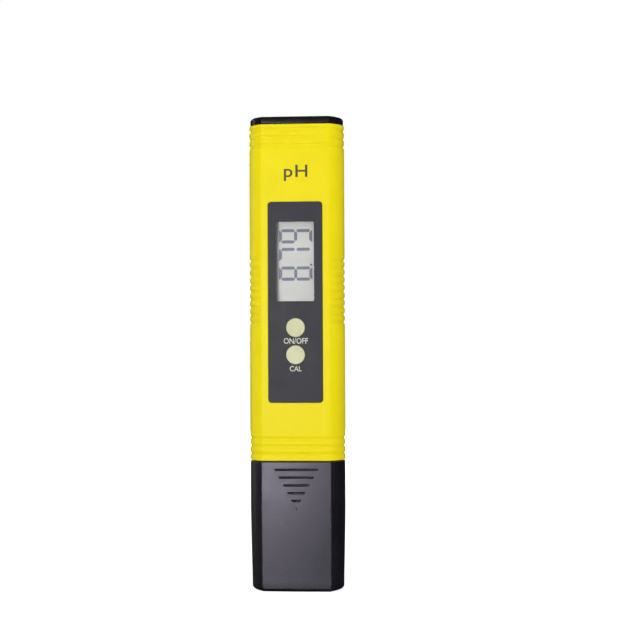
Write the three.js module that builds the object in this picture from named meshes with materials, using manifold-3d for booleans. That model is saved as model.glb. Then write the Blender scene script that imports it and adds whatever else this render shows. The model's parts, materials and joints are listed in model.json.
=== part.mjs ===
// A pocket pH test pen. The case is two shells around a display, two press
// keys, a circuit board and two button cells under a pull-off battery lid.
// The glass electrode sits below, in a collar that a pull-off storage cap
// covers.
//
// Millimetres. +Z runs up the pen, -Y is the display side, and the origin is
// the centre of the storage cap's flat base.

import * as THREE from 'three';
import { LoftGeometry } from 'three/addons/geometries/LoftGeometry.js';
import { mergeVertices } from 'three/addons/utils/BufferGeometryUtils.js';
import Module from 'manifold-3d';

const wasm = await Module();
wasm.setup();

// ---------------------------------------------------------------------------
// Driving dimensions
// ---------------------------------------------------------------------------

// The case's cross-section: flat front and back, round sides. Every section of
// the pen is this one, pulled in by an inset.
const HALF_WIDTH = 15.35;
const HALF_DEPTH = 7.5;
const SIDE_RADIUS = 8.5;
const WALL = 1.6;

// Heights along the pen.
const CAP_TOP = 41.2;
const CASE_BOTTOM = 41.5;
const CASE_TOP = 148.5;
const LID_BOTTOM = 148.7;
const PEN_TOP = 151;

// Wavy grooves, from the lowest edge of each band upwards.
const LOWER_BAND = { start: 42.35, count: 3, pitch: 2.45, depth: 0.35 };
const UPPER_BAND = { start: 140.5, count: 3, pitch: 2.55, depth: 0.35 };
const GRIPS = { start: 84.2, count: 9, pitch: 2.475, depth: 0.4 };
const EDGE_BREAK = 0.25;

// Face label, its display window and its two keys.
const LABEL = { halfWidth: 8.675, bottom: 59.9, top: 123.7, corner: 1.1, thickness: 0.3 };
const LABEL_GAP = 0.12;
const WINDOW = { halfWidth: 5.95, bottom: 92.1, top: 117.4, corner: 0.4 };
const PANE_GAP = 0.15;
const PANE_FLANGE = { lap: 1.2, thickness: 0.5 };
const KEY = { radius: 3.0, clearance: 0.2, proud: 0.35, flangeRadius: 3.7, flangeThickness: 0.6 };
const KEY_SETBACK = 0.15;
const POWER_KEY_Z = 83.7;
const CAL_KEY_Z = 75.1;

// Depths of what lies behind the front wall, front face to back face.
const LCD_FRAME_Y = [-5.3, -1.9];
const LCD_LIP_BACK = -4.9;
const LCD_Y = [-4.8, -3.15];
const ZEBRA_Y = [-3.1, -1.95];
const BOARD_Y = [-1.9, -0.7];
const SWITCH_FRONT = -4.4;
const SWITCH_WELL = { radius: 1.65, back: -3.2 };
const PLUNGER = { radius: 1.4, front: -5.1, back: -3.9 };

// Circuit board and its four screws.
const BOARD = { halfWidth: 10.2, bottom: 57, top: 127.5, corner: 0.8 };
const SCREW_X = 8.2;
const SCREW_Z = [62.6, 124.6];
const SCREW = { headRadius: 1.5, headHeight: 0.7, shankRadius: 0.75, length: 4.2 };
const BOSS_RADIUS = 2.0;

// Two LR44 cells, one behind the other, in an open-topped cradle.
const CELL = { radius: 5.8, thickness: 5.4, centreZ: 139.6, gap: 0.03 };
const CRADLE = { halfWidth: 10.5, halfDepth: 5.5, bottom: 131, top: 146 };
const CONTACT_Y = [5.6, 5.85];
const CONTACT_FOOT_Z = 127.8;

// Battery lid: a cover plate, a plug that carries the seal, and two tongues.
const LID_INSET = 0.3;
const LID_EDGE_RADIUS = 0.85;
const PLUG = { inset: 2.35, wall: 1.1, bottom: 146.4 };
const LID_SEAL = { inset: 1.7, bottom: 146.95, top: 147.85 };
const TONGUE = { x: [10.75, 12.05], halfWidth: 3.0, bottom: 141 };

// Electrode collar: the neck, the reference chamber and the bulb guard.
const COLLAR = { bottom: 12.5, top: 56, caseInset: 1.75, neckInset: 2.2 };
const CHAMBER = { inset: 3.3, floor: 27 };
const GUARD = { inset: 3.45, roof: 25 };
const GUARD_ARCH = { halfWidth: 6.5, springZ: 17 };
const CAP_SEAL = { inset: 1.85, grooveInset: 2.9, bottom: 35, top: 36.6 };
const HOLDING_RIB = { inset: 2.6, bottom: 49, top: 50.2 };
const STOPPER = { inset: 3.4, bottom: 51.5, top: 55.4 };

// Glass electrode, its silver wire, the reference parts and the probe.
const GLASS = { bulbRadius: 3.7, bulbZ: 18.7, stemRadius: 3.2, wall: 0.55, top: 50 };
const SILVER_RADIUS = 0.35;
const WIRE_TOP = 50.2;
const JUNCTION = { x: -7.5, radius: 1.0, bottom: 24.6, top: 27.3 };
const PROBE = { x: 10.2, radius: 1.2, tip: 14.5, top: 49 };
const LEAD_RADIUS = 0.4;

// Storage cap: its outline narrows towards a rounded base, and its round sides
// stand a little further out than the case's section.
const CAP_EXTRA_REACH = 0.15;
const CAP_CAVITY = { inset: 1.75, floor: 1.8 };
const CAP_PROFILE = [
  { z: 0, inset: 1.8 },
  { z: 0.35, inset: 1.25 },
  { z: 1.0, inset: 0.95 },
  { z: 1.8, inset: 0.82 },
  { z: 5.6, inset: 0.66 },
  { z: 11.3, inset: 0.52 },
  { z: 19, inset: 0.36 },
  { z: 26, inset: 0.25 },
  { z: 40.8, inset: 0.25 },
  { z: CAP_TOP, inset: 0.5 },
];
const SPONGE = { inset: 1.95, bottom: 1.9, top: 6.6 };

// Engraved arrow: bars that shorten downwards between two slanting edges.
const ARROW = { topZ: 39.1, pitch: 2.46, bars: 5, barHeight: 0.8, depth: 0.5 };
const ARROW_TIP_Z = 26.4;
const ARROW_HALF_WIDTH = 7.1;

// Facets.
const SIDE_STEPS = 8;
const WAVE_STEPS = 4;
const ROUND_STEPS = 20;
const SMALL_STEPS = 10;

// How far a cutting shape runs past the face that it cuts.
const PAST = 1;

// ---------------------------------------------------------------------------
// Solids
// ---------------------------------------------------------------------------

/** A closed geometry as a solid that can be joined and cut. */
function solid(geometry) {
  const bare = new THREE.BufferGeometry();
  bare.setAttribute('position', geometry.getAttribute('position'));
  bare.setIndex(geometry.getIndex());
  const merged = mergeVertices(bare, 1e-5);
  return new wasm.Manifold(new wasm.Mesh({
    numProp: 3,
    vertProperties: new Float32Array(merged.attributes.position.array),
    triVerts: new Uint32Array(merged.index.array),
  }));
}

/** A solid as a geometry that a mesh can show. */
function geometryOf(shape) {
  const { vertProperties, triVerts } = shape.getMesh();
  const geometry = new THREE.BufferGeometry();
  geometry.setAttribute('position', new THREE.BufferAttribute(vertProperties, 3));
  geometry.setIndex(new THREE.BufferAttribute(triVerts, 1));
  geometry.computeVertexNormals();
  return geometry;
}

/** One cross-section at height z; grip pulls in the round sides only, and reach
    moves both of them outwards. */
function section({ z, inset, grip = 0, reach: extra = 0 }) {
  const radius = SIDE_RADIUS - inset;
  const reach = Math.asin((HALF_DEPTH - inset) / radius);
  const points = [];
  for (const side of [1, -1]) {
    for (let i = 0; i <= SIDE_STEPS; i += 1) {
      const along = (2 * i) / SIDE_STEPS - 1;
      const pulled = radius - grip * (1 - along ** 4);
      const x = HALF_WIDTH + extra - SIDE_RADIUS + pulled * Math.cos(along * reach);
      points.push(new THREE.Vector3(side * x, side * pulled * Math.sin(along * reach), z));
    }
  }
  return points;
}

/** The solid through a list of cross-sections, lowest first. */
function loft(rows) {
  return solid(new LoftGeometry(rows.map(section), { capStart: true, capEnd: true }));
}

/** A straight length of the case's section. */
function prism(inset, bottom, top) {
  return loft([{ z: bottom, inset }, { z: top, inset }]);
}

/** A straight tube between two insets of the case's section. */
function sleeve(outerInset, innerInset, bottom, top) {
  return prism(outerInset, bottom, top).subtract(prism(innerInset, bottom - PAST, top + PAST));
}

/** The block between two corners. */
function block([x0, x1], [y0, y1], [z0, z1]) {
  const geometry = new THREE.BoxGeometry(x1 - x0, y1 - y0, z1 - z0);
  return solid(geometry.translate((x0 + x1) / 2, (y0 + y1) / 2, (z0 + z1) / 2));
}

/** A rectangle with round corners, centred on x = 0, as a shape or a hole. */
function roundedRectangle(halfWidth, bottom, top, corner, Kind = THREE.Shape) {
  const outline = new Kind();
  outline.absarc(halfWidth - corner, bottom + corner, corner, -Math.PI / 2, 0);
  outline.absarc(halfWidth - corner, top - corner, corner, 0, Math.PI / 2);
  outline.absarc(corner - halfWidth, top - corner, corner, Math.PI / 2, Math.PI);
  outline.absarc(corner - halfWidth, bottom + corner, corner, Math.PI, 1.5 * Math.PI);
  outline.closePath();
  return outline;
}

/** A round hole in an upright plate, drawn as four quarter arcs. */
function roundHole(x, z, radius) {
  const hole = new THREE.Path();
  for (let quarter = 0; quarter < 4; quarter += 1) {
    hole.absarc(x, z, radius, (quarter * Math.PI) / 2, ((quarter + 1) * Math.PI) / 2);
  }
  return hole;
}

/** An upright plate: a shape drawn in x and z, from its front y to its back y. */
function plate(shape, [front, back], curveSegments = 2) {
  const geometry = new THREE.ExtrudeGeometry(shape, {
    depth: back - front, bevelEnabled: false, curveSegments,
  });
  return geometry.rotateX(Math.PI / 2).translate(0, back, 0);
}

/** A profile of [radius, height] pairs turned about the Y axis. */
function turnedAboutY(profile, steps = ROUND_STEPS) {
  return new THREE.LatheGeometry(profile.map(([r, y]) => new THREE.Vector2(r, y)), steps);
}

/** A profile of [radius, height] pairs turned about the Z axis. */
function turnedAboutZ(profile, steps = ROUND_STEPS) {
  return turnedAboutY(profile, steps).rotateX(Math.PI / 2);
}

/** A rod along Y. */
function rodY(radius, [front, back], steps = ROUND_STEPS) {
  return turnedAboutY([[0, front], [radius, front], [radius, back], [0, back]], steps);
}

/** A rod along Z. */
function rodZ(radius, [bottom, top], steps = ROUND_STEPS) {
  return turnedAboutZ([[0, bottom], [radius, bottom], [radius, top], [0, top]], steps);
}

/** An insulated lead along a smooth route. */
function lead(route) {
  const section2d = new THREE.Shape().absarc(0, 0, LEAD_RADIUS, 0, 2 * Math.PI);
  const path = new THREE.CatmullRomCurve3(route.map((point) => new THREE.Vector3(...point)));
  return new THREE.ExtrudeGeometry(section2d, {
    extrudePath: path, steps: 14, curveSegments: 4, bevelEnabled: false,
  });
}

/** Cross-sections of a band of wavy grooves; pull names which inset waves. */
function waves({ start, count, pitch, depth }, pull) {
  const rows = [];
  for (let i = 0; i <= count * WAVE_STEPS; i += 1) {
    const phase = (2 * Math.PI * i) / WAVE_STEPS;
    const row = { z: start + (i * pitch) / WAVE_STEPS, inset: 0 };
    row[pull] = (depth * (1 - Math.cos(phase))) / 2;
    rows.push(row);
  }
  return rows;
}

// ---------------------------------------------------------------------------
// Case
// ---------------------------------------------------------------------------

/** The whole case as one open tube, with the rib that holds the collar. */
function caseTube() {
  const outside = loft([
    { z: CASE_BOTTOM, inset: EDGE_BREAK },
    { z: CASE_BOTTOM + EDGE_BREAK, inset: 0 },
    ...waves(LOWER_BAND, 'inset'),
    ...waves(GRIPS, 'grip'),
    ...waves(UPPER_BAND, 'inset'),
    { z: CASE_TOP - EDGE_BREAK, inset: 0 },
    { z: CASE_TOP, inset: EDGE_BREAK },
  ]);
  const cavity = prism(WALL, CASE_BOTTOM - PAST, CASE_TOP + PAST);
  const rib = sleeve(WALL - 0.2, HOLDING_RIB.inset, HOLDING_RIB.bottom, HOLDING_RIB.top);
  return outside.subtract(cavity).add(rib);
}

/** Half of the case, cut along its side seams. */
function caseHalf(tube, depths) {
  return tube.intersect(block([-20, 20], depths, [0, PEN_TOP + PAST]));
}

/** Display-side shell: label recess, window opening and key holes. */
function frontShell(tube) {
  const face = -HALF_DEPTH;
  const recess = roundedRectangle(
    LABEL.halfWidth + LABEL_GAP, LABEL.bottom - LABEL_GAP, LABEL.top + LABEL_GAP, LABEL.corner,
  );
  const opening = roundedRectangle(
    WINDOW.halfWidth + PANE_GAP, WINDOW.bottom - PANE_GAP, WINDOW.top + PANE_GAP, WINDOW.corner,
  );
  let shell = caseHalf(tube, [-20, 0])
    .subtract(solid(plate(recess, [face - PAST, face + LABEL.thickness])))
    .subtract(solid(plate(opening, [face - PAST, -1])));
  for (const z of [POWER_KEY_Z, CAL_KEY_Z]) {
    const hole = rodY(KEY.radius + KEY.clearance, [face - PAST, -1]);
    shell = shell.subtract(solid(hole.translate(0, 0, z)));
  }
  return shell;
}

/** Rear shell: screw bosses for the board and two shelves under the cradle. */
function rearShell(tube) {
  const wallInside = HALF_DEPTH - WALL + 0.2;
  const boardBack = BOARD_Y[1];
  let shell = caseHalf(tube, [0, 20]);
  for (const side of [-1, 1]) {
    const shelfX = [side * 8 - 2, side * 8 + 2];
    shell = shell.add(block(shelfX, [0.5, wallInside], [CRADLE.bottom - 1.6, CRADLE.bottom - 0.3]));
    for (const z of SCREW_Z) {
      const boss = rodY(BOSS_RADIUS, [boardBack, wallInside], SMALL_STEPS);
      const pilot = rodY(SCREW.shankRadius + 0.1, [boardBack - PAST, 4], SMALL_STEPS);
      shell = shell
        .add(solid(boss.translate(side * SCREW_X, 0, z)))
        .subtract(solid(pilot.translate(side * SCREW_X, 0, z)));
    }
  }
  return shell;
}

/** Printed face label, with the window and the key holes cut out. */
function faceLabel() {
  const outline = roundedRectangle(LABEL.halfWidth, LABEL.bottom, LABEL.top, LABEL.corner);
  outline.holes.push(
    roundedRectangle(WINDOW.halfWidth, WINDOW.bottom, WINDOW.top, WINDOW.corner, THREE.Path),
    roundHole(0, POWER_KEY_Z, KEY.radius + KEY.clearance),
    roundHole(0, CAL_KEY_Z, KEY.radius + KEY.clearance),
  );
  return plate(outline, [-HALF_DEPTH, LABEL.thickness - HALF_DEPTH], 3);
}

/** Clear pane, pushed into the opening from behind as far as its flange. */
function displayWindow() {
  const wallBack = WALL - HALF_DEPTH;
  const pane = roundedRectangle(WINDOW.halfWidth, WINDOW.bottom, WINDOW.top, WINDOW.corner);
  const flange = roundedRectangle(
    WINDOW.halfWidth + PANE_FLANGE.lap,
    WINDOW.bottom - PANE_FLANGE.lap,
    WINDOW.top + PANE_FLANGE.lap,
    WINDOW.corner,
  );
  return solid(plate(pane, [LABEL.thickness - HALF_DEPTH + 0.05, wallBack + 0.2]))
    .add(solid(plate(flange, [wallBack, wallBack + PANE_FLANGE.thickness])));
}

// ---------------------------------------------------------------------------
// Display and circuit board
// ---------------------------------------------------------------------------

/** Bezel that clamps the display and its contact strips to the board. */
function lcdFrame() {
  const outer = roundedRectangle(9.2, WINDOW.bottom - 3.5, WINDOW.top + 3.5, 0.5);
  const seat = roundedRectangle(7.9, WINDOW.bottom - 2.3, WINDOW.top + 2.3, 0.3);
  const view = roundedRectangle(6.6, WINDOW.bottom - 1, WINDOW.top + 1, 0.3);
  return solid(plate(outer, LCD_FRAME_Y))
    .subtract(solid(plate(seat, [LCD_LIP_BACK, LCD_FRAME_Y[1] + PAST])))
    .subtract(solid(plate(view, [LCD_FRAME_Y[0] - PAST, LCD_LIP_BACK + 0.1])));
}

/** Board with a clear hole for each screw. */
function circuitBoard() {
  const outline = roundedRectangle(BOARD.halfWidth, BOARD.bottom, BOARD.top, BOARD.corner);
  for (const z of SCREW_Z) {
    for (const side of [-1, 1]) {
      outline.holes.push(roundHole(side * SCREW_X, z, SCREW.shankRadius + 0.2));
    }
  }
  return plate(outline, BOARD_Y);
}

/** Push switch: a square body with a round well for its plunger. */
function switchBody() {
  const body = block([-3, 3], [SWITCH_FRONT, BOARD_Y[0]], [-3, 3]);
  const well = rodY(SWITCH_WELL.radius, [SWITCH_FRONT - PAST, SWITCH_WELL.back], SMALL_STEPS);
  return body.subtract(solid(well));
}

/** Pan-head screw along Y, its head towards the front. */
function boardScrew() {
  const { headRadius, headHeight, shankRadius, length } = SCREW;
  return turnedAboutY([
    [0, -headHeight], [headRadius * 0.7, -headHeight], [headRadius, -headHeight / 2],
    [headRadius, 0], [shankRadius, 0], [shankRadius, length - 0.6], [0, length],
  ], SMALL_STEPS);
}

/** Metal can of the crystal, lying along the board. */
function crystalCan() {
  return turnedAboutZ([[0, 0], [0.8, 0], [1, 0.2], [1, 5.8], [0.8, 6], [0, 6]], SMALL_STEPS);
}

/** Electrolytic capacitor standing off the back of the board. */
function filterCapacitor() {
  return turnedAboutY([[0, 0], [2, 0], [2, 4.2], [1.7, 4.5], [0, 4.5]], SMALL_STEPS);
}

/** Press key: a low dome on a round stem, with a flange behind the wall. */
function pressKey() {
  const crown = -HALF_DEPTH - KEY.proud;
  const flangeFront = WALL - HALF_DEPTH + KEY_SETBACK;
  const flangeBack = flangeFront + KEY.flangeThickness;
  return turnedAboutY([
    [0, crown], [KEY.radius * 0.55, crown + 0.03], [KEY.radius * 0.87, crown + 0.12],
    [KEY.radius, crown + 0.32], [KEY.radius, flangeFront], [KEY.flangeRadius, flangeFront],
    [KEY.flangeRadius, flangeBack], [0, flangeBack],
  ]);
}

// ---------------------------------------------------------------------------
// Battery bay
// ---------------------------------------------------------------------------

/** LR44 button cell along Y: the can's flat face first, then the smaller cap. */
function buttonCell() {
  const { radius, thickness } = CELL;
  return turnedAboutY([
    [0, 0], [radius - 0.3, 0], [radius, 0.3], [radius, thickness - 0.6],
    [radius - 0.5, thickness - 0.3], [radius - 1.2, thickness - 0.3],
    [radius - 1.2, thickness], [0, thickness],
  ]);
}

/** Cradle with a round-bottomed slot that is open at the top, front and back. */
function batteryCradle() {
  const slotRadius = CELL.radius + 0.15;
  const slot = new THREE.Shape();
  slot.absarc(0, CELL.centreZ, slotRadius, Math.PI, 2 * Math.PI);
  slot.lineTo(slotRadius, CRADLE.top + PAST);
  slot.lineTo(-slotRadius, CRADLE.top + PAST);
  slot.closePath();
  const depths = [-CRADLE.halfDepth, CRADLE.halfDepth];
  const body = block([-CRADLE.halfWidth, CRADLE.halfWidth], depths, [CRADLE.bottom, CRADLE.top]);
  return body.subtract(solid(plate(slot, [depths[0] - PAST, depths[1] + PAST], 8)));
}

/** Leaf contact behind a cell, with a leg down to a foot over the board. */
function batteryContact() {
  const legX = [-5, -2.6];
  const footTop = CONTACT_FOOT_Z + 0.3;
  return block([-4, 4], CONTACT_Y, [CELL.centreZ - 4, CELL.centreZ + 4])
    .add(block(legX, CONTACT_Y, [CONTACT_FOOT_Z, CELL.centreZ - 3]))
    .add(block(legX, [-1.6, CONTACT_Y[1]], [CONTACT_FOOT_Z, footTop]));
}

/** Pull-off lid: cover plate, plug with a seal seat, and two side tongues. */
function batteryLid() {
  const cover = [{ z: LID_BOTTOM, inset: LID_INSET }];
  const edgeSteps = 4;
  for (let i = 0; i <= edgeSteps; i += 1) {
    const turn = (i / edgeSteps) * (Math.PI / 2);
    cover.push({
      z: PEN_TOP - LID_EDGE_RADIUS * (1 - Math.sin(turn)),
      inset: LID_INSET + LID_EDGE_RADIUS * (1 - Math.cos(turn)),
    });
  }
  const plug = sleeve(PLUG.inset, PLUG.inset + PLUG.wall, PLUG.bottom, LID_BOTTOM + 0.2);
  const sealLip = sleeve(1.9, PLUG.inset + 0.1, PLUG.bottom, PLUG.bottom + 0.45);
  let lid = loft(cover).add(plug).add(sealLip);
  for (const side of [-1, 1]) {
    const x = TONGUE.x.map((reach) => side * reach).sort((a, b) => a - b);
    const y = [-TONGUE.halfWidth, TONGUE.halfWidth];
    lid = lid.add(block(x, y, [TONGUE.bottom, LID_BOTTOM + 0.2]));
  }
  return lid;
}

// ---------------------------------------------------------------------------
// Electrode end
// ---------------------------------------------------------------------------

/** Collar: case spigot, neck, reference chamber and open-ended bulb guard. */
function electrodeCollar() {
  const arch = new THREE.Shape();
  arch.absarc(0, GUARD_ARCH.springZ, GUARD_ARCH.halfWidth, 0, Math.PI);
  arch.lineTo(-GUARD_ARCH.halfWidth, COLLAR.bottom - PAST);
  arch.lineTo(GUARD_ARCH.halfWidth, COLLAR.bottom - PAST);
  arch.closePath();
  const floor = [GUARD.roof - PAST, CHAMBER.floor + PAST];
  return loft([
    { z: COLLAR.bottom, inset: 2.7 },
    { z: COLLAR.bottom + 0.6, inset: 2.3 },
    { z: 30, inset: COLLAR.neckInset },
    { z: CASE_BOTTOM + 0.5, inset: COLLAR.neckInset },
  ])
    .add(prism(COLLAR.caseInset, CASE_BOTTOM + 0.2, COLLAR.top))
    .subtract(sleeve(1, CAP_SEAL.grooveInset, CAP_SEAL.bottom - 0.05, CAP_SEAL.top + 0.05))
    .subtract(sleeve(1, HOLDING_RIB.inset + 0.15, HOLDING_RIB.bottom - 0.2, HOLDING_RIB.top + 0.2))
    .subtract(prism(CHAMBER.inset, CHAMBER.floor, COLLAR.top + PAST))
    .subtract(prism(GUARD.inset, COLLAR.bottom - PAST, GUARD.roof))
    .subtract(solid(plate(arch, [-20, 20], 8)))
    .subtract(solid(rodZ(GLASS.stemRadius + 0.1, floor)))
    .subtract(solid(rodZ(JUNCTION.radius + 0.05, floor, SMALL_STEPS).translate(JUNCTION.x, 0, 0)))
    .subtract(solid(rodZ(PROBE.radius + 0.05, floor, SMALL_STEPS).translate(PROBE.x, 0, 0)));
}

/** Points on a quarter-or-less arc about the Z axis, as [radius, height]. */
function arcProfile(radius, centreZ, from, to, steps) {
  const points = [];
  for (let i = 0; i <= steps; i += 1) {
    const angle = from + ((to - from) * i) / steps;
    points.push([Math.max(0, radius * Math.cos(angle)), centreZ + radius * Math.sin(angle)]);
  }
  return points;
}

/** Glass tube, open at the top, with the thin sensing bulb blown at its end. */
function glassElectrode() {
  const { bulbRadius, bulbZ, stemRadius, wall, top } = GLASS;
  const bottom = -Math.PI / 2;
  const shoulder = 0.5;
  return turnedAboutZ([
    ...arcProfile(bulbRadius, bulbZ, bottom, shoulder, 6),
    [stemRadius, bulbZ + 2.9],
    [stemRadius, top],
    [stemRadius - wall, top],
    [stemRadius - wall, bulbZ + 2.9],
    ...arcProfile(bulbRadius - wall, bulbZ, shoulder, bottom, 6),
  ]);
}

/** Steel probe tube with a round closed tip. */
function temperatureProbe() {
  const { radius, tip, top } = PROBE;
  return turnedAboutZ([
    ...arcProfile(radius, tip + radius, -Math.PI / 2, 0, 4), [radius, top], [0, top],
  ], SMALL_STEPS);
}

/** A round plug along Z with a hole down its middle. */
function boredPlug(radius, boreRadius, [bottom, top]) {
  return turnedAboutZ([
    [boreRadius, bottom], [radius, bottom], [radius, top], [boreRadius, top], [boreRadius, bottom],
  ]);
}

/** Stopper that closes the reference chamber around the three leads. */
function chamberStopper() {
  let stopper = prism(STOPPER.inset, STOPPER.bottom, STOPPER.top);
  for (const x of [JUNCTION.x, 0, PROBE.x]) {
    const hole = rodZ(LEAD_RADIUS + 0.2, [STOPPER.bottom - PAST, STOPPER.top + PAST], SMALL_STEPS);
    stopper = stopper.subtract(solid(hole.translate(x, 0, 0)));
  }
  return stopper;
}

/** Route of a lead: straight up through the stopper, then to the board. */
function leadRoute(x, startZ, padX) {
  const padY = BOARD_Y[1] + LEAD_RADIUS + 0.1;
  const clearZ = STOPPER.top + 0.6;
  return [
    [x, 0, startZ], [x, 0, clearZ - 2], [x, 0, clearZ], [(x + padX) / 2, 1, 58], [padX, padY, 63],
  ];
}

// ---------------------------------------------------------------------------
// Storage cap
// ---------------------------------------------------------------------------

/** One engraved bar of the arrow: a trapezium between the slanting edges. */
function arrowBar(top) {
  const bottom = top - ARROW.barHeight;
  const halfWidthAt = (z) => (ARROW_HALF_WIDTH * (z - ARROW_TIP_Z)) / (ARROW.topZ - ARROW_TIP_Z);
  const bar = new THREE.Shape([
    new THREE.Vector2(-halfWidthAt(bottom), bottom), new THREE.Vector2(halfWidthAt(bottom), bottom),
    new THREE.Vector2(halfWidthAt(top), top), new THREE.Vector2(-halfWidthAt(top), top),
  ]);
  return solid(plate(bar, [-HALF_DEPTH - PAST, ARROW.depth + 0.25 - HALF_DEPTH]));
}

/** Cap: a deep cup of the case's section, with the arrow in its front. */
function protectiveCap() {
  const outside = loft(CAP_PROFILE.map((row) => ({ ...row, reach: CAP_EXTRA_REACH })));
  let cap = outside.subtract(prism(CAP_CAVITY.inset, CAP_CAVITY.floor, CAP_TOP + PAST));
  for (let i = 0; i < ARROW.bars; i += 1) {
    cap = cap.subtract(arrowBar(ARROW.topZ - i * ARROW.pitch));
  }
  return cap;
}

// ---------------------------------------------------------------------------
// Materials
// ---------------------------------------------------------------------------

const material = (color, roughness, metalness = 0) => (
  new THREE.MeshStandardMaterial({ color, roughness, metalness })
);
const YELLOW = material('#f0e024', 0.42);
const BLACK = material('#26242a', 0.5);
const CAP_BLACK = material('#34323a', 0.55);
const SLATE = material('#45434d', 0.45);
const KEY_GREEN = material('#d3d6b0', 0.5);
const CLEAR = material('#dfe6e8', 0.08);
const LCD_GREY = material('#c8cbcb', 0.3);
const ZEBRA_PINK = material('#b8848c', 0.7);
const BOARD_GREEN = material('#1f6b3c', 0.5);
const CHIP_BLACK = material('#1b1b1d', 0.6);
const STEEL = material('#b9bcc0', 0.3, 1);
const NICKEL = material('#c9c4b4', 0.35, 1);
const SILVER = material('#d8d6d0', 0.3, 1);
const CRADLE_WHITE = material('#dcdcd6', 0.6);
const RUBBER = material('#3b4654', 0.8);
const EPOXY = material('#2b2d33', 0.35);
const CERAMIC = material('#e9e4d8', 0.8);
const GLASS_CLEAR = material('#d9ecec', 0.05);
const FOAM = material('#e8d98a', 0.95);
const LEAD_COLOURS = {
  signal: material('#b03030', 0.6), reference: material('#2b2b2b', 0.6), probe: material('#2f5fa8', 0.6),
};

// ---------------------------------------------------------------------------
// Assembly
// ---------------------------------------------------------------------------

/** Adds a named piece to a group, at a place in it. */
function place(parent, name, shape, finish, position = [0, 0, 0]) {
  const geometry = shape.isBufferGeometry ? shape : geometryOf(shape);
  const mesh = new THREE.Mesh(geometry, finish);
  mesh.name = name;
  mesh.position.set(...position);
  parent.add(mesh);
  return mesh;
}

const group = new THREE.Group();
const capGroup = new THREE.Group();
const caseGroup = new THREE.Group();
const boardGroup = new THREE.Group();
const batteryGroup = new THREE.Group();
const electrodeGroup = new THREE.Group();
group.add(capGroup, caseGroup, boardGroup, batteryGroup, electrodeGroup);

place(capGroup, 'protective_cap', protectiveCap(), CAP_BLACK);
place(capGroup, 'storage_sponge', prism(SPONGE.inset, SPONGE.bottom, SPONGE.top), FOAM);

const tube = caseTube();
place(caseGroup, 'front_shell', frontShell(tube), YELLOW);
place(caseGroup, 'rear_shell', rearShell(tube), YELLOW);
place(caseGroup, 'face_label', faceLabel(), SLATE);
place(caseGroup, 'display_window', displayWindow(), CLEAR);

const lcdPanel = roundedRectangle(7.7, WINDOW.bottom - 2.1, WINDOW.top + 2.1, 0.2);
place(boardGroup, 'lcd_frame', lcdFrame(), BLACK);
place(boardGroup, 'lcd_panel', plate(lcdPanel, LCD_Y), LCD_GREY);
for (const [name, side] of [['zebra_strip_left', -1], ['zebra_strip_right', 1]]) {
  const strip = block([-0.6, 0.6], ZEBRA_Y, [WINDOW.bottom - 1, WINDOW.top + 1]);
  place(boardGroup, name, strip, ZEBRA_PINK, [side * 6.9, 0, 0]);
}

place(boardGroup, 'circuit_board', circuitBoard(), BOARD_GREEN);
const boardBack = BOARD_Y[1];
const controllerChip = block([-4, 4], [0, 1.4], [-4, 4]);
const amplifierChip = block([-2, 2], [0, 1.5], [-2.5, 2.5]);
place(boardGroup, 'controller_chip', controllerChip, CHIP_BLACK, [0, boardBack, 100]);
place(boardGroup, 'amplifier_chip', amplifierChip, CHIP_BLACK, [0, boardBack, 70]);
place(boardGroup, 'crystal_can', crystalCan(), STEEL, [6.5, boardBack + 1, 96]);
place(boardGroup, 'filter_capacitor', filterCapacitor(), EPOXY, [-5.5, boardBack, 112]);
let screwNumber = 0;
for (const z of SCREW_Z) {
  for (const side of [-1, 1]) {
    screwNumber += 1;
    const position = [side * SCREW_X, BOARD_Y[0], z];
    place(boardGroup, `board_screw_${screwNumber}`, boardScrew(), STEEL, position);
  }
}

for (const [name, z] of [['power', POWER_KEY_Z], ['cal', CAL_KEY_Z]]) {
  const keyGroup = new THREE.Group();
  keyGroup.position.z = z;
  boardGroup.add(keyGroup);
  place(keyGroup, `${name}_switch`, switchBody(), CHIP_BLACK);
  place(keyGroup, `${name}_button`, pressKey(), KEY_GREEN);
  const plunger = rodY(PLUNGER.radius, [PLUNGER.front, PLUNGER.back], SMALL_STEPS);
  place(keyGroup, `${name}_plunger`, plunger, BLACK);
}

place(batteryGroup, 'battery_cradle', batteryCradle(), CRADLE_WHITE);
const frontCellY = -CELL.thickness - CELL.gap;
place(batteryGroup, 'battery_cell_front', buttonCell(), STEEL, [0, frontCellY, CELL.centreZ]);
place(batteryGroup, 'battery_cell_rear', buttonCell(), STEEL, [0, CELL.gap, CELL.centreZ]);
place(batteryGroup, 'battery_contact_negative', batteryContact(), NICKEL);
place(batteryGroup, 'battery_contact_positive', batteryContact(), NICKEL).rotation.z = Math.PI;
place(batteryGroup, 'battery_lid', batteryLid(), BLACK);
const lidSeal = sleeve(LID_SEAL.inset, PLUG.inset - 0.05, LID_SEAL.bottom, LID_SEAL.top);
place(batteryGroup, 'lid_seal', lidSeal, RUBBER);

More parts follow.
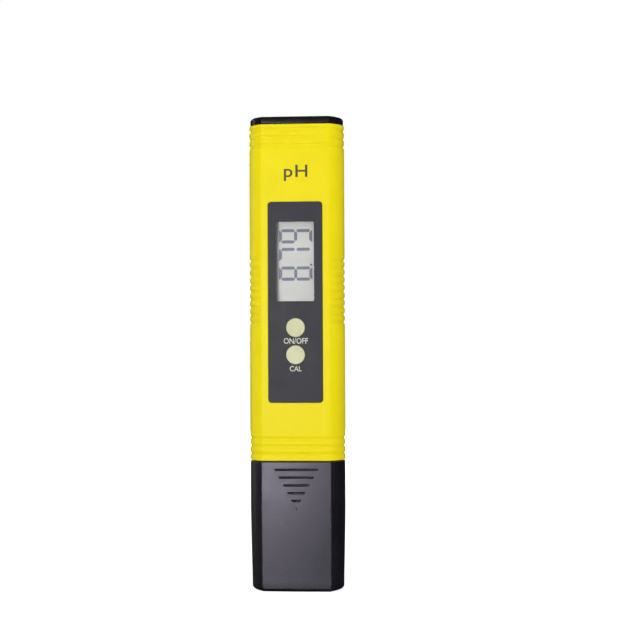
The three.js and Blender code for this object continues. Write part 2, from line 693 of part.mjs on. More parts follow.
place(electrodeGroup, 'electrode_collar', electrodeCollar(), BLACK);
const capSeal = sleeve(CAP_SEAL.inset, CAP_SEAL.grooveInset - 0.05, CAP_SEAL.bottom, CAP_SEAL.top);
place(electrodeGroup, 'cap_seal_ring', capSeal, RUBBER);
place(electrodeGroup, 'chamber_stopper', chamberStopper(), EPOXY);
place(electrodeGroup, 'glass_electrode', glassElectrode(), GLASS_CLEAR);
const glassBore = GLASS.stemRadius - GLASS.wall;
const glassPlug = boredPlug(glassBore - 0.1, SILVER_RADIUS + 0.1, [GLASS.top - 4, GLASS.top - 0.2]);
place(electrodeGroup, 'glass_plug', glassPlug, RUBBER);
const silverWire = rodZ(SILVER_RADIUS, [17, WIRE_TOP], SMALL_STEPS);
place(electrodeGroup, 'silver_wire', silverWire, SILVER);
const referenceWire = rodZ(SILVER_RADIUS, [CHAMBER.floor + 2, WIRE_TOP], SMALL_STEPS);
place(electrodeGroup, 'reference_wire', referenceWire, SILVER, [JUNCTION.x, 0, 0]);
const junction = rodZ(JUNCTION.radius, [JUNCTION.bottom, JUNCTION.top], SMALL_STEPS);
place(electrodeGroup, 'reference_junction', junction, CERAMIC, [JUNCTION.x, 0, 0]);
place(electrodeGroup, 'temperature_probe', temperatureProbe(), STEEL, [PROBE.x, 0, 0]);

const leads = [
  ['signal_lead', leadRoute(0, WIRE_TOP + 0.3, 0), LEAD_COLOURS.signal],
  ['reference_lead', leadRoute(JUNCTION.x, WIRE_TOP + 0.3, -3), LEAD_COLOURS.reference],
  ['probe_lead', leadRoute(PROBE.x, PROBE.top + 0.3, 3), LEAD_COLOURS.probe],
];
for (const [name, route, finish] of leads) {
  place(electrodeGroup, name, lead(route), finish);
}

export default group;
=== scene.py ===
import json
import math

import bmesh
import bpy
from mathutils import Matrix, Vector


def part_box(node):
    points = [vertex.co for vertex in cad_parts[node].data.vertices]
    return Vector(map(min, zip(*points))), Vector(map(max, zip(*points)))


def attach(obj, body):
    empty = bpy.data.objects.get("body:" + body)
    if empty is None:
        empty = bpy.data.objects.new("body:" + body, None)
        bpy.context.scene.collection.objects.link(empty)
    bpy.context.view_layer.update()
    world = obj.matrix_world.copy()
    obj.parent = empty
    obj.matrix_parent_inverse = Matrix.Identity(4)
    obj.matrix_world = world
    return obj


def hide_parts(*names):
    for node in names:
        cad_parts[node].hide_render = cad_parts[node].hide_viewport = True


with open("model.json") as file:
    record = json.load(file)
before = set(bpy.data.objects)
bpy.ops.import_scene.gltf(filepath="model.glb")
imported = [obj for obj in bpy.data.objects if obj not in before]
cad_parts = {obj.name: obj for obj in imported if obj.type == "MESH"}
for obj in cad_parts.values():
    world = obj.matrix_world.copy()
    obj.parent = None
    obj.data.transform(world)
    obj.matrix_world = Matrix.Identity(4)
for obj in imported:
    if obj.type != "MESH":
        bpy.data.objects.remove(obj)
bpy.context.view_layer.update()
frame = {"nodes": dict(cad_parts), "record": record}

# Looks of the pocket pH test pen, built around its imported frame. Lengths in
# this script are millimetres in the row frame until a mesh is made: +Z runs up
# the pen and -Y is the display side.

MM = 0.001


def node_span(node, axis):
    """Lowest and highest place of a CAD node along an axis, in millimetres."""
    low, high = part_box(node)
    return low[axis] / MM, high[axis] / MM


X, Y, Z = 0, 1, 2


def spans(node):
    """A CAD node's spans along X, Y and Z."""
    return [node_span(node, axis) for axis in (X, Y, Z)]


def middle(span):
    return sum(span) / 2

# ---- Driving dimensions ----

# The case's section: flat front and back, round sides, softened creases.
HALF_WIDTH = node_span("rear_shell", X)[1]
HALF_DEPTH = node_span("rear_shell", Y)[1]
SIDE_RADIUS = 8.5
SIDE_CENTRE = HALF_WIDTH - SIDE_RADIUS
CREASE_RADIUS = 1.1
WALL = 1.6
EDGE_ROUND = 0.3
SHARP_DEGREES = 50

CASE_BOTTOM, CASE_TOP = node_span("rear_shell", Z)
LID_BOTTOM, PEN_TOP = 148.7, node_span("battery_lid", Z)[1]
CAP_TOP = node_span("protective_cap", Z)[1]

LOWER_BAND = {"start": 42.35, "count": 3, "pitch": 2.45, "depth": 0.35}
UPPER_BAND = {"start": 140.5, "count": 3, "pitch": 2.55, "depth": 0.35}
GRIPS = {"start": 84.2, "count": 9, "pitch": 2.475, "depth": 0.4}
WAVE_STEPS = 14
CASE_STEP = 2.5

LABEL_HALF_WIDTH = node_span("face_label", X)[1]
LABEL_BOTTOM, LABEL_TOP = node_span("face_label", Z)
LABEL_CORNER = 1.1
LABEL_GAP = 0.1
LABEL_THICKNESS = 0.3
LABEL_SUNK = 0.04
WINDOW_HALF_WIDTH = 5.95
WINDOW_BOTTOM, WINDOW_TOP = 92.1, 117.4
WINDOW_CORNER = 0.45
WINDOW_GAP = 0.15

KEY_RADIUS = 3.0
KEY_CLEARANCE = 0.14
POWER_KEY_Z = middle(node_span("power_button", Z))
CAL_KEY_Z = middle(node_span("cal_button", Z))
KEY_CROWN_Y, KEY_BACK_Y = node_span("power_button", Y)
KEY_FLANGE_RADIUS = node_span("power_button", X)[1]

# ---- Mesh helpers ----


def mesh_object(name, vertices, faces):
    """A mesh object from places in millimetres."""
    mesh = bpy.data.meshes.new(name)
    mesh.from_pydata([Vector(v) * MM for v in vertices], [], faces)
    mesh.update()
    obj = add_object(name, mesh)
    turn_outwards(obj)
    return obj


def add_object(name, data):
    """An object in the scene that shows a mesh, text, lamp or camera."""
    obj = bpy.data.objects.new(name, data)
    bpy.context.scene.collection.objects.link(obj)
    return obj


def turn_outwards(obj):
    """Makes every face point out of the solid."""
    work = bmesh.new()
    work.from_mesh(obj.data)
    bmesh.ops.recalc_face_normals(work, faces=work.faces)
    work.to_mesh(obj.data)
    work.free()


def final_mesh(obj):
    """A mesh of an object's shape with its modifiers in."""
    graph = bpy.context.evaluated_depsgraph_get()
    return bpy.data.meshes.new_from_object(obj.evaluated_get(graph))


def apply_modifiers(obj):
    mesh = final_mesh(obj)
    obj.modifiers.clear()
    obj.data = mesh


def shade(obj):
    """Smooth shading that keeps large faces flat, broken at sharp edges."""
    work = bmesh.new()
    work.from_mesh(obj.data)
    bmesh.ops.remove_doubles(work, verts=work.verts, dist=0.0005 * MM)
    limit = math.radians(SHARP_DEGREES)
    for face in work.faces:
        face.smooth = True
    for edge in work.edges:
        edge.smooth = len(edge.link_faces) == 2 and edge.calc_face_angle() < limit
    work.to_mesh(obj.data)
    work.free()
    modifier = obj.modifiers.new("shade", "WEIGHTED_NORMAL")
    modifier.mode = "FACE_AREA"
    modifier.keep_sharp = True
    apply_modifiers(obj)


def combine(obj, others, operation):
    """Joins others to a solid, or cuts them out of it, and removes them."""
    for other in others:
        modifier = obj.modifiers.new("combine", "BOOLEAN")
        modifier.operation = operation
        modifier.solver = "EXACT"
        modifier.object = other
    apply_modifiers(obj)
    for other in others:
        bpy.data.objects.remove(other)


def join(obj, others):
    combine(obj, others, "UNION")


def cut(obj, others):
    combine(obj, others, "DIFFERENCE")


def round_edges(obj, name, width, angle):
    """Adds a modifier that rounds every edge sharper than an angle."""
    modifier = obj.modifiers.new(name, "BEVEL")
    modifier.width = width * MM
    modifier.segments = 2
    modifier.limit_method = "ANGLE"
    modifier.angle_limit = math.radians(angle)


def soften(obj, width, angle=40):
    """Rounds every edge sharper than angle by a width in millimetres."""
    round_edges(obj, "soften", width, angle)
    apply_modifiers(obj)


def skin(name, rings, folded=False):
    """A closed mesh through rings of equal length. A folded ring runs out and
    back beside itself, so its ends close as strips instead of single faces."""
    count = len(rings[0])
    faces = []
    for row in range(len(rings) - 1):
        low, high = row * count, (row + 1) * count
        for i in range(count):
            j = (i + 1) % count
            faces.append((low + i, low + j, high + j, high + i))
    for base in (0, (len(rings) - 1) * count):
        if folded:
            for i in range(count // 2 - 1):
                far = base + count - 1 - i
                faces.append((base + i, base + i + 1, far - 1, far))
        else:
            faces.append(tuple(range(base, base + count)))
    return mesh_object(name, [point for ring in rings for point in ring], faces)


# ---- Shapes ----

ARC_STEPS = 18
FILLET_STEPS = 4
FLAT_STEPS = 12


def half_outline(inset, facing, grip=0.0, crown=0.0, extra=0.0):
    """Half of the section, from the +X seam to the -X seam, on the front
    (facing -1) or the back (facing 1). Grip pulls in the round sides only;
    crown bows the flat out at its middle; extra moves both sides outwards."""
    radius = SIDE_RADIUS - inset
    depth = HALF_DEPTH - inset
    corner_y = depth - CREASE_RADIUS
    corner_x = SIDE_CENTRE + math.sqrt((radius - CREASE_RADIUS) ** 2 - corner_y**2)
    reach = math.atan2(corner_y, corner_x - SIDE_CENTRE)
    quarter = []
    for i in range(ARC_STEPS + 1):
        along = i / ARC_STEPS
        pulled = radius - grip * (1 - along**4)
        angle = along * reach
        quarter.append((SIDE_CENTRE + pulled * math.cos(angle), pulled * math.sin(angle)))
    for i in range(1, FILLET_STEPS + 1):
        angle = reach + (math.pi / 2 - reach) * i / FILLET_STEPS
        quarter.append((
            corner_x + CREASE_RADIUS * math.cos(angle),
            corner_y + CREASE_RADIUS * math.sin(angle),
        ))
    flat = []
    for i in range(1, FLAT_STEPS):
        share = 1 - 2 * i / FLAT_STEPS
        flat.append((corner_x * share, depth + crown * (1 - share**2)))
    points = quarter + flat + [(-x, y) for x, y in reversed(quarter)]
    if extra:
        points = [(x * (1 + extra / HALF_WIDTH), y) for x, y in points]
    return [(x, facing * y) for x, y in points]


def section(z, inset, grip=0.0, crown=0.0, extra=0.0):
    """The whole section at height z as one ring."""
    front = half_outline(inset, -1, grip, crown, extra)
    back = half_outline(inset, 1, grip, crown, extra)
    return [(x, y, z) for x, y in front + back[-2:0:-1]]


def tower(name, rows):
    """A solid through sections given as (z, inset), then grip, crown, extra."""
    return skin(name, [section(*row) for row in rows])


def cut_tower(inset, bottom, top):
    """A straight length of the section, to cut or join with."""
    return tower("cutter", [(bottom, inset), (top, inset)])


def quarter_turn(radius, steps, end=90):
    """(drop, inset) pairs of a round edge, from a level top to a plumb side, or
    to the given angle, still drawn over the whole radius."""
    pairs = []
    last = math.radians(end)
    for i in range(steps + 1):
        angle = last * i / steps
        drop = (1 - math.cos(angle)) / (1 - math.cos(last))
        inset = 1 - math.sin(angle) / math.sin(last)
        pairs.append((radius * drop, radius * inset))
    return pairs


def rounded_rectangle(half_width, bottom, top, corner, steps=8):
    """Outline in x and z of a rectangle with round corners, centred on x = 0."""
    points = []
    corners = [
        (half_width - corner, bottom + corner, -90),
        (half_width - corner, top - corner, 0),
        (corner - half_width, top - corner, 90),
        (corner - half_width, bottom + corner, 180),
    ]
    for x, z, start in corners:
        for i in range(steps + 1):
            angle = math.radians(start + 90 * i / steps)
            points.append((x + corner * math.cos(angle), z + corner * math.sin(angle)))
    return points


def box_outline(left, right, low, high):
    """Outline in x and z of a rectangle with square corners."""
    return [(left, low), (right, low), (right, high), (left, high)]


def circle(x, z, radius, steps=64):
    """Outline in x and z of a circle."""
    angles = [2 * math.pi * i / steps for i in range(steps)]
    return [(x + radius * math.cos(a), z + radius * math.sin(a)) for a in angles]


def plate(name, outline, front, back):
    """An upright plate: an outline in x and z between two depths."""
    return skin(name, [[(x, y, z) for x, z in outline] for y in (front, back)])


def turned(name, profile, axis, place=(0, 0, 0), steps=64):
    """A profile of (radius, height) pairs turned about the Y or Z axis. It
    starts and ends on the axis, or ends where it started."""
    closed = profile[0] == profile[-1]
    body = profile[:-1] if closed else profile[1:-1]
    vertices, faces = [], []
    for i in range(steps):
        angle = 2 * math.pi * i / steps
        for radius, height in body:
            vertices.append((radius * math.cos(angle), radius * math.sin(angle), height))
    count = len(body)
    for i in range(steps):
        near, far = i * count, ((i + 1) % steps) * count
        for k in range(count if closed else count - 1):
            n = (k + 1) % count
            faces.append((near + k, far + k, far + n, near + n))
    if not closed:
        for end, k in ((profile[0][1], 0), (profile[-1][1], count - 1)):
            vertices.append((0, 0, end))
            tip = len(vertices) - 1
            for i in range(steps):
                faces.append((tip, i * count + k, ((i + 1) % steps) * count + k))
    if axis == Y:
        vertices = [(x, h, y) for x, y, h in vertices]
    moved = [tuple(a + b for a, b in zip(v, place)) for v in vertices]
    return mesh_object(name, moved, faces)


def arc_profile(radius, centre, start, end, steps):
    """(radius, height) pairs on an arc, for a turned profile. Angles in degrees."""
    pairs = []
    for i in range(steps + 1):
        angle = math.radians(start + (end - start) * i / steps)
        pairs.append((max(0.0, radius * math.cos(angle)), centre + radius * math.sin(angle)))
    return pairs


# ---- Materials ----


def linear(code):
    """A colour code such as 'f0e024' as linear red, green, blue, alpha."""
    values = []
    for i in (0, 2, 4):
        c = int(code[i : i + 2], 16) / 255
        values.append(c / 12.92 if c <= 0.04045 else ((c + 0.055) / 1.055) ** 2.4)
    return (*values, 1.0)


def feed(tree, socket, value):
    """Sets a socket to a value or colour code, or links it to an output."""
    if isinstance(value, bpy.types.NodeSocket):
        tree.links.new(value, socket)
    else:
        socket.default_value = linear(value) if isinstance(value, str) else value


def add_node(tree, kind, inputs=(), **options):
    """Adds a node; inputs are (socket name or index, what to feed it)."""
    node = tree.nodes.new(kind)
    for option, value in options.items():
        setattr(node, option, value)
    for socket, value in inputs:
        feed(tree, node.inputs[socket], value)
    return node


class Look:
    """A procedural material, grown around one Principled shader."""

    def __init__(self, name, roughness, **sockets):
        self.name = name
        self.material = bpy.data.materials.new(name)
        self.material.use_nodes = True
        self.tree = self.material.node_tree
        self.shader = self.tree.nodes["Principled BSDF"]
        self.set("Roughness", roughness)
        for socket, value in sockets.items():
            self.set(socket.replace("_", " "), value)
        self.place = self.add("ShaderNodeTexCoord").outputs["Object"]
        self.height = None

    def set(self, socket, value):
        feed(self.tree, self.shader.inputs[socket], value)

    def add(self, kind, inputs=(), **options):
        return add_node(self.tree, kind, inputs, **options)

    def noise(self, size, detail=2.0, seed=0.0, stretch=(1, 1, 1)):
        """Cloudy noise whose blobs are about size millimetres across."""
        scale = [1 / (size * MM * s) for s in stretch]
        mapping = self.add(
            "ShaderNodeMapping",
            [("Vector", self.place), ("Scale", scale), ("Location", (seed, seed, seed))],
        )
        noise = self.add(
            "ShaderNodeTexNoise",
            [("Vector", mapping.outputs[0]), ("Scale", 1.0), ("Detail", detail)],
        )
        return noise.outputs["Fac"]

    def cells(self, size):
        """Distance to the nearest of cells about size millimetres across."""
        scale = 1 / (size * MM)
        cells = self.add("ShaderNodeTexVoronoi", [("Vector", self.place), ("Scale", scale)])
        return cells.outputs["Distance"]

    def edges(self, low=0.53, high=0.62):
        """0 on faces and hollows, rising to 1 on outer edges."""
        geometry = self.add("ShaderNodeNewGeometry")
        return self.remap(geometry.outputs["Pointiness"], low, high)

    def creases(self):
        """1 on the softened creases between the flats and the round sides, where a painted
        highlight can go.
        """
        normal = self.add("ShaderNodeTexCoord").outputs["Normal"]
        sideways = self.add("ShaderNodeSeparateXYZ", [(0, normal)]).outputs[0]
        sideways = self.add("ShaderNodeMath", [(0, sideways)], operation="ABSOLUTE").outputs[0]
        rising = self.remap(sideways, 0.05, 0.2)
        return self.times(rising, self.remap(sideways, 0.32, 0.46, 1.0, 0.0))

    def remap(self, value, low, high, to_low=0.0, to_high=1.0):
        inputs = enumerate((value, low, high, to_low, to_high))
        return self.add("ShaderNodeMapRange", inputs).outputs[0]

    def times(self, a, b):
        return self.add("ShaderNodeMath", [(0, a), (1, b)], operation="MULTIPLY").outputs[0]

    def mix(self, factor, a, b):
        """Colour a blended towards colour b by a factor."""
        inputs = [(0, factor), (6, a), (7, b)]
        return self.add("ShaderNodeMix", inputs, data_type="RGBA").outputs[2]

    def relief(self, height, depth):
        """Adds a bump of a depth in millimetres on top of what is there."""
        bump = self.add(
            "ShaderNodeBump", [("Height", height), ("Distance", depth * MM), ("Strength", 1.0)]
        )
        if self.height is not None:
            feed(self.tree, bump.inputs["Normal"], self.height)
        self.height = bump.outputs[0]
        self.set("Normal", self.height)


def moulded(name, colour, shadow, roughness, grain=0.14, depth=0.004, wear=0.25,
            painted_crease_highlight=None, **sockets):
    """Moulded plastic: spark grain, faint flow clouds and paler worn edges. If a crease highlight
    colour is given, a painted highlight runs along the creases."""
    look = Look(name, roughness, **sockets)
    clouds = look.noise(7, detail=3)
    speck = look.noise(grain * 1.6, detail=1, seed=11)
    base = look.mix(look.remap(clouds, 0.35, 0.65), shadow, colour)
    base = look.mix(look.remap(speck, 0.62, 0.78, 0.0, 0.35), base, shadow)
    pale = tuple(min(1.0, c * 1.25 + 0.035) for c in linear(colour)[:3]) + (1.0,)
    patchy = look.remap(look.noise(1.5, seed=5), 0.4, 0.6, 0.3, 1.0)
    base = look.mix(look.times(look.times(look.edges(), patchy), wear), base, pale)
    # Painted highlight: the creases take a paler colour that stands in for light caught on their
    # rounding.
    if painted_crease_highlight:
        base = look.mix(look.times(look.creases(), patchy), base, painted_crease_highlight)
    look.set("Base Color", base)
    look.set("Roughness", look.remap(clouds, 0.3, 0.7, roughness * 0.92, roughness * 1.1))
    look.relief(look.noise(grain, detail=2, seed=3), depth)
    look.relief(look.noise(12, detail=2, seed=8), 0.008)
    return look


def rubber_look(name, colour, shadow):
    """Matt rubber with a fine bloom."""
    look = Look(name, 0.7)
    bloom = look.noise(2.5, detail=4)
    look.set("Base Color", look.mix(bloom, shadow, colour))
    look.set("Roughness", look.remap(bloom, 0.3, 0.7, 0.6, 0.8))
    look.relief(look.noise(0.12, detail=2), 0.004)
    return look


def metal_look(name, colour, roughness, stretch=(1, 1, 1), shadow=0.75):
    """Bare metal with drawn or brushed lines along the stretch."""
    look = Look(name, roughness, Metallic=1.0)
    lines = look.noise(0.12, detail=2, stretch=stretch)
    stains = look.noise(3, detail=3, seed=4)
    bright = linear(colour)
    dull = tuple(c * shadow for c in bright[:3]) + (1.0,)
    look.set("Base Color", look.mix(look.remap(stains, 0.35, 0.7), bright, dull))
    look.set("Roughness", look.remap(lines, 0.3, 0.7, roughness * 0.8, roughness * 1.25))
    look.relief(lines, 0.0003)
    return look


def let_lamps_through(look):
    """Lets shadow rays pass a clear material, so that what is behind it is lit."""
    path = look.add("ShaderNodeLightPath")
    clear = look.add("ShaderNodeBsdfTransparent")
    mix = look.add("ShaderNodeMixShader", [
        (0, path.outputs["Is Shadow Ray"]), (1, look.shader.outputs[0]), (2, clear.outputs[0])])
    feed(look.tree, look.tree.nodes["Material Output"].inputs["Surface"], mix.outputs[0])


def clear_look(name, colour, roughness, ior):
    """Clear glass or acrylic with faint smears."""
    look = Look(name, roughness, Transmission_Weight=1.0, IOR=ior)
    smears = look.noise(4, detail=3)
    look.set("Base Color", look.mix(smears, colour, (1.0, 1.0, 1.0, 1.0)))
    look.set("Roughness", look.remap(smears, 0.4, 0.7, roughness, roughness + 0.03))
    look.relief(look.noise(6, detail=1, seed=2), 0.004)
    let_lamps_through(look)
    return look


def lcd_look():
    """Grey reflective display: faint cell grid behind a polariser."""
    look = Look("lcd_grey", 0.45)
    haze = look.noise(9, detail=2)
    base = look.mix(haze, "b6b7b5", "bfc0bd")
    fibre = look.noise(0.2, detail=2, stretch=(1, 1, 6))
    look.set("Base Color", look.mix(look.remap(fibre, 0.4, 0.7, 0.0, 0.25), base, "adaeac"))
    look.relief(fibre, 0.001)
    return look


def ink_look(name, colour, shadow, roughness=0.5):
    """Screen-printed ink, slightly uneven in cover."""
    look = Look(name, roughness)
    cover = look.noise(0.5, detail=3)
    look.set("Base Color", look.mix(look.remap(cover, 0.4, 0.7), colour, shadow))
    look.relief(look.noise(0.15), 0.002)
    return look


def board_look():
    """Green solder mask over a weave of glass cloth. Raised tracks run in groups,
    some along the board and some across it."""
    look = Look("board_green", 0.35)
    runs = []
    for turn in (0, math.pi / 2):
        upright = look.add(
            "ShaderNodeMapping", [("Vector", look.place), ("Rotation", (math.pi / 2, 0, turn))]
        )
        sizes = {"Scale": 1 / MM, "Mortar Size": 0.09, "Mortar Smooth": 0.2,
                 "Brick Width": 6.5, "Row Height": 0.85}
        colours = {"Color1": (0, 0, 0, 1), "Color2": (0, 0, 0, 1), "Mortar": (1, 1, 1, 1)}
        bricks = look.add(
            "ShaderNodeTexBrick",
            [("Vector", upright.outputs[0]), *colours.items(), *sizes.items()],
            offset=0.37,
        )
        runs.append(bricks.outputs["Color"])
    group = look.remap(look.noise(8, detail=0, seed=6), 0.49, 0.5)
    bare = look.remap(look.noise(5, detail=0, seed=1), 0.5, 0.51, 1.0, 0.0)
    tracks = look.times(look.mix(group, *runs), bare)
    base = look.mix(tracks, "155e33", "2f8f55")
    weave = look.noise(0.3, detail=1)
    look.set("Base Color", look.mix(look.times(weave, 0.5), base, "0e4526"))
    look.relief(tracks, 0.035)
    look.relief(weave, 0.003)
    return look


def foam_look():
    """Open-cell foam: pale struts, with painted shade darkening the pores."""
    look = Look("sponge_foam", 0.95)
    pores = look.cells(0.55)
    holes = look.remap(pores, 0.15, 0.5, 1.0, 0.0)
    patch = look.noise(3, detail=3)
    base = look.mix(patch, "dcca74", "eee09a")
    # Painted shade: the pores' hollows are darkened in the colour.
    look.set("Base Color", look.mix(holes, base, "8a7a38"))
    look.relief(pores, 0.25)
    return look


def ceramic_look():
    """Porous white ceramic."""
    look = Look("ceramic_white", 0.85)
    pores = look.noise(0.1, detail=3)
    look.set("Base Color", look.mix(look.remap(pores, 0.5, 0.7), "ece7db", "b9b09c"))
    look.relief(pores, 0.03)
    return look


LOOKS = {look.name: look for look in (
    moulded("case_yellow", "e8d70f", "e5d40c", 0.36, grain=0.2, depth=0.0015, wear=0.15,
             Specular_IOR_Level=0.12),
    moulded("lid_black", "131215", "0e0d10", 0.22, grain=0.3, depth=0.002,
             Specular_IOR_Level=0.25),
    # The cap's crease colour is a painted highlight along its softened creases.
    moulded("cap_black", "121016", "0c0b10", 0.4, grain=0.45, depth=0.028, painted_crease_highlight="403e48",
             Specular_IOR_Level=0.9, IOR=1.75, Specular_Tint="e6e0f4"),
    moulded("collar_black", "232228", "1a191d", 0.4, grain=0.16, depth=0.003),
    moulded("frame_black", "1e1e21", "161618", 0.5),
    moulded("label_slate", "272532", "201e29", 0.5, grain=0.2, depth=0.004, wear=0.15),
    moulded("key_pale_green", "cfd0aa", "c5c69c", 0.55, grain=0.2, depth=0.003, wear=0.1),
    moulded("cradle_white", "dedcd2", "d0cec3", 0.55),
    moulded("chip_black", "1d1d1f", "141416", 0.6, grain=0.1, depth=0.006),
    moulded("epoxy_dark", "26282e", "1c1e23", 0.25, grain=0.4, depth=0.004),
    clear_look("window_clear", "f3f2f1", 0.02, 1.49),
    clear_look("electrode_glass", "e6f2f0", 0.01, 1.5),
    lcd_look(),
    ink_look("lcd_ink", "565b6e", "646a7c", 0.45),
    ink_look("print_dark", "4a3a1e", "5a4824"),
    ink_look("print_cream", "d2d2c4", "bcbcae"),
    rubber_look("zebra_pink", "c08a92", "8a5a62"),
    rubber_look("seal_rubber", "3f5270", "2c3b54"),
    board_look(),
    metal_look("steel", "c9ccd0", 0.28, stretch=(1, 1, 12)),
    metal_look("nickel", "cdc6b2", 0.3, stretch=(1, 1, 8)),
    metal_look("silver", "dcdad4", 0.25, stretch=(1, 1, 10), shadow=0.6),
    ceramic_look(),
    foam_look(),
    rubber_look("lead_red", "b23030", "8c2424"),
    rubber_look("lead_black", "2a2a2c", "1c1c1e"),
    rubber_look("lead_blue", "2f5fa8", "244a86"),
)}


def dress(obj, look):
    """Gives a piece its material."""
    obj.data.materials.clear()
    obj.data.materials.append(LOOKS[look].material)


def make_piece(obj, look, stands_for=(), body="pen"):
    """Finishes a piece: shading, material, body, CAD nodes."""
    shade(obj)
    dress(obj, look)
    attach(obj, body)
    if stands_for:
        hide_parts(*stands_for)
    return obj


# ---- Case ----


def groove(z, band):
    """Depth of a band of narrow grooves between round ridges at height z."""
    turns = (z - band["start"]) / band["pitch"]
    if not 0 < turns < band["count"]:
        return 0.0
    return band["depth"] * (0.5 - 0.5 * math.cos(2 * math.pi * turns)) ** 2.2


def end_inset(z):
    """Inset that rounds the case's two ends."""
    reach = max(0.0, EDGE_ROUND - min(z - CASE_BOTTOM, CASE_TOP - z))
    return EDGE_ROUND - math.sqrt(EDGE_ROUND**2 - reach**2)


def case_heights():
    """Heights of the case's sections: close together in the grooves."""
    heights = {CASE_BOTTOM, CASE_TOP}
    for i in range(1, 5):
        heights |= {CASE_BOTTOM + EDGE_ROUND * i / 4, CASE_TOP - EDGE_ROUND * i / 4}
    z = CASE_BOTTOM + CASE_STEP
    while z < CASE_TOP - 1:
        heights.add(z)
        z += CASE_STEP
    for band in (LOWER_BAND, GRIPS, UPPER_BAND):
        low = band["start"]
        high = low + band["count"] * band["pitch"]
        heights = {z for z in heights if not low < z < high}
        for i in range(band["count"] * WAVE_STEPS + 1):
            heights.add(low + i * band["pitch"] / WAVE_STEPS)
    return sorted(heights)


def case_half(name, facing):
    """One half of the case as a curved wall, with a fine seam line."""
    seam_depth, seam_half_width = 0.2, 0.15
    rings = []
    for z in case_heights():
        inset = groove(z, LOWER_BAND) + groove(z, UPPER_BAND) + end_inset(z)
        outer = half_outline(inset, facing, groove(z, GRIPS))
        for end, neighbour in ((0, 1), (-1, -2)):
            x, y = outer[end]
            outer[end] = (x - math.copysign(seam_depth, x), y)
            outer[neighbour] = (x, facing * seam_half_width)
        inner = half_outline(WALL, facing)
        rings.append([(x, y, z) for x, y in outer + inner[::-1]])
    return skin(name, rings, folded=True)


def blacken(obj, chosen):
    """Paints the upright sides of an opening or pane black where chosen says."""
    obj.data.materials.append(LOOKS["frame_black"].material)
    for polygon in obj.data.polygons:
        if abs(polygon.normal.y) < 0.3 and chosen(polygon.center / MM):
            polygon.material_index = 1


def window_outline(gap=0.0):
    return rounded_rectangle(
        WINDOW_HALF_WIDTH + gap, WINDOW_BOTTOM - gap, WINDOW_TOP + gap, WINDOW_CORNER
    )


def key_holes(front, back):
    """Cutters for the two key holes."""
    return [plate("key_hole", circle(0, z, KEY_RADIUS + KEY_CLEARANCE), front, back)
            for z in (POWER_KEY_Z, CAL_KEY_Z)]


def make_front_case():
    """Display half: label recess, window opening and key holes."""
    face = -HALF_DEPTH
    shell = case_half("case_front", -1)
    recess = rounded_rectangle(
        LABEL_HALF_WIDTH + LABEL_GAP, LABEL_BOTTOM - LABEL_GAP,
        LABEL_TOP + LABEL_GAP, LABEL_CORNER + LABEL_GAP,
    )
    cut(shell, [
        plate("recess", recess, face - 1, face + LABEL_THICKNESS),
        plate("opening", window_outline(WINDOW_GAP), face - 1, face + 4),
        *key_holes(face - 1, face + 4),
    ])
    soften(shell, 0.06, angle=50)
    make_piece(shell, "case_yellow", ["front_shell"])
    blacken(shell, lambda place: abs(place.x) < WINDOW_HALF_WIDTH + 0.2
            and WINDOW_BOTTOM - 0.2 < place.z < WINDOW_TOP + 0.2)


def make_rear_case():
    """Rear half, with its screw bosses and cradle shelves."""
    shell = case_half("case_rear", 1)
    inside = HALF_DEPTH - WALL + 0.2
    board_back = node_span("circuit_board", Y)[1]
    bosses, pilots = [], []
    for number in (1, 2, 3, 4):
        screw = f"board_screw_{number}"
        x = middle(node_span(screw, X))
        z = middle(node_span(screw, Z))
        boss = [(0, board_back), (2, board_back), (2, inside - 1), (2.6, inside), (0, inside)]
        pilot = [(0, board_back - 1), (0.85, board_back - 1), (0.85, 4), (0, 4)]
        bosses.append(turned("boss", boss, Y, (x, 0, z), 32))
        pilots.append(turned("pilot", pilot, Y, (x, 0, z), 32))
    shelf_top = node_span("battery_cradle", Z)[0] - 0.3
    for side in (-1, 1):
        outline = box_outline(*sorted((side * 6, side * 10)), shelf_top - 1.3, shelf_top)
        bosses.append(plate("shelf", outline, 0.5, inside))
    join(shell, bosses)
    cut(shell, pilots)
    soften(shell, 0.06, angle=50)
    make_piece(shell, "case_yellow", ["rear_shell"])


# ---- Label, display and keys ----


def make_label():
    """Dark face label with a bevelled rim, cut out for window and keys."""
    front = LABEL_SUNK - HALF_DEPTH
    back = LABEL_THICKNESS - HALF_DEPTH
    outline = rounded_rectangle(LABEL_HALF_WIDTH, LABEL_BOTTOM, LABEL_TOP, LABEL_CORNER)
    label = plate("label_film", outline, front, back)
    window = plate("cut", window_outline(), front - 1, back + 1)
    cut(label, [window, *key_holes(front - 1, back + 1)])
    soften(label, 0.05)
    make_piece(label, "label_slate", ["face_label"])


def make_pane():
    """Clear pane with a flange, its sides painted black like the print."""
    (_, wide), (front, back), (low, high) = spans("display_window")
    step = WALL - HALF_DEPTH
    pane = plate("display_pane", window_outline(), front, step + 0.1)
    flange = plate("flange", rounded_rectangle(wide, low, high, 0.5), step, back)
    join(pane, [flange])
    soften(pane, 0.05)
    make_piece(pane, "window_clear", ["display_window"])
    blacken(pane, lambda place: True)


# Which bars of a digit are on: top, upper right, lower right, bottom, lower
# left, upper left, middle.
BARS_ON = {"8": (1, 1, 1, 1, 1, 1, 1), "7": (1, 1, 1, 0, 0, 0, 0), "9": (1, 1, 1, 1, 0, 1, 1)}
DIGIT_WIDTH, DIGIT_HEIGHT = 3.56, 9.7
DIGIT_PITCH = 5.95
BAR = 1.0
BAR_GAP = 0.16
FIRST_DIGIT_Z = 100.95


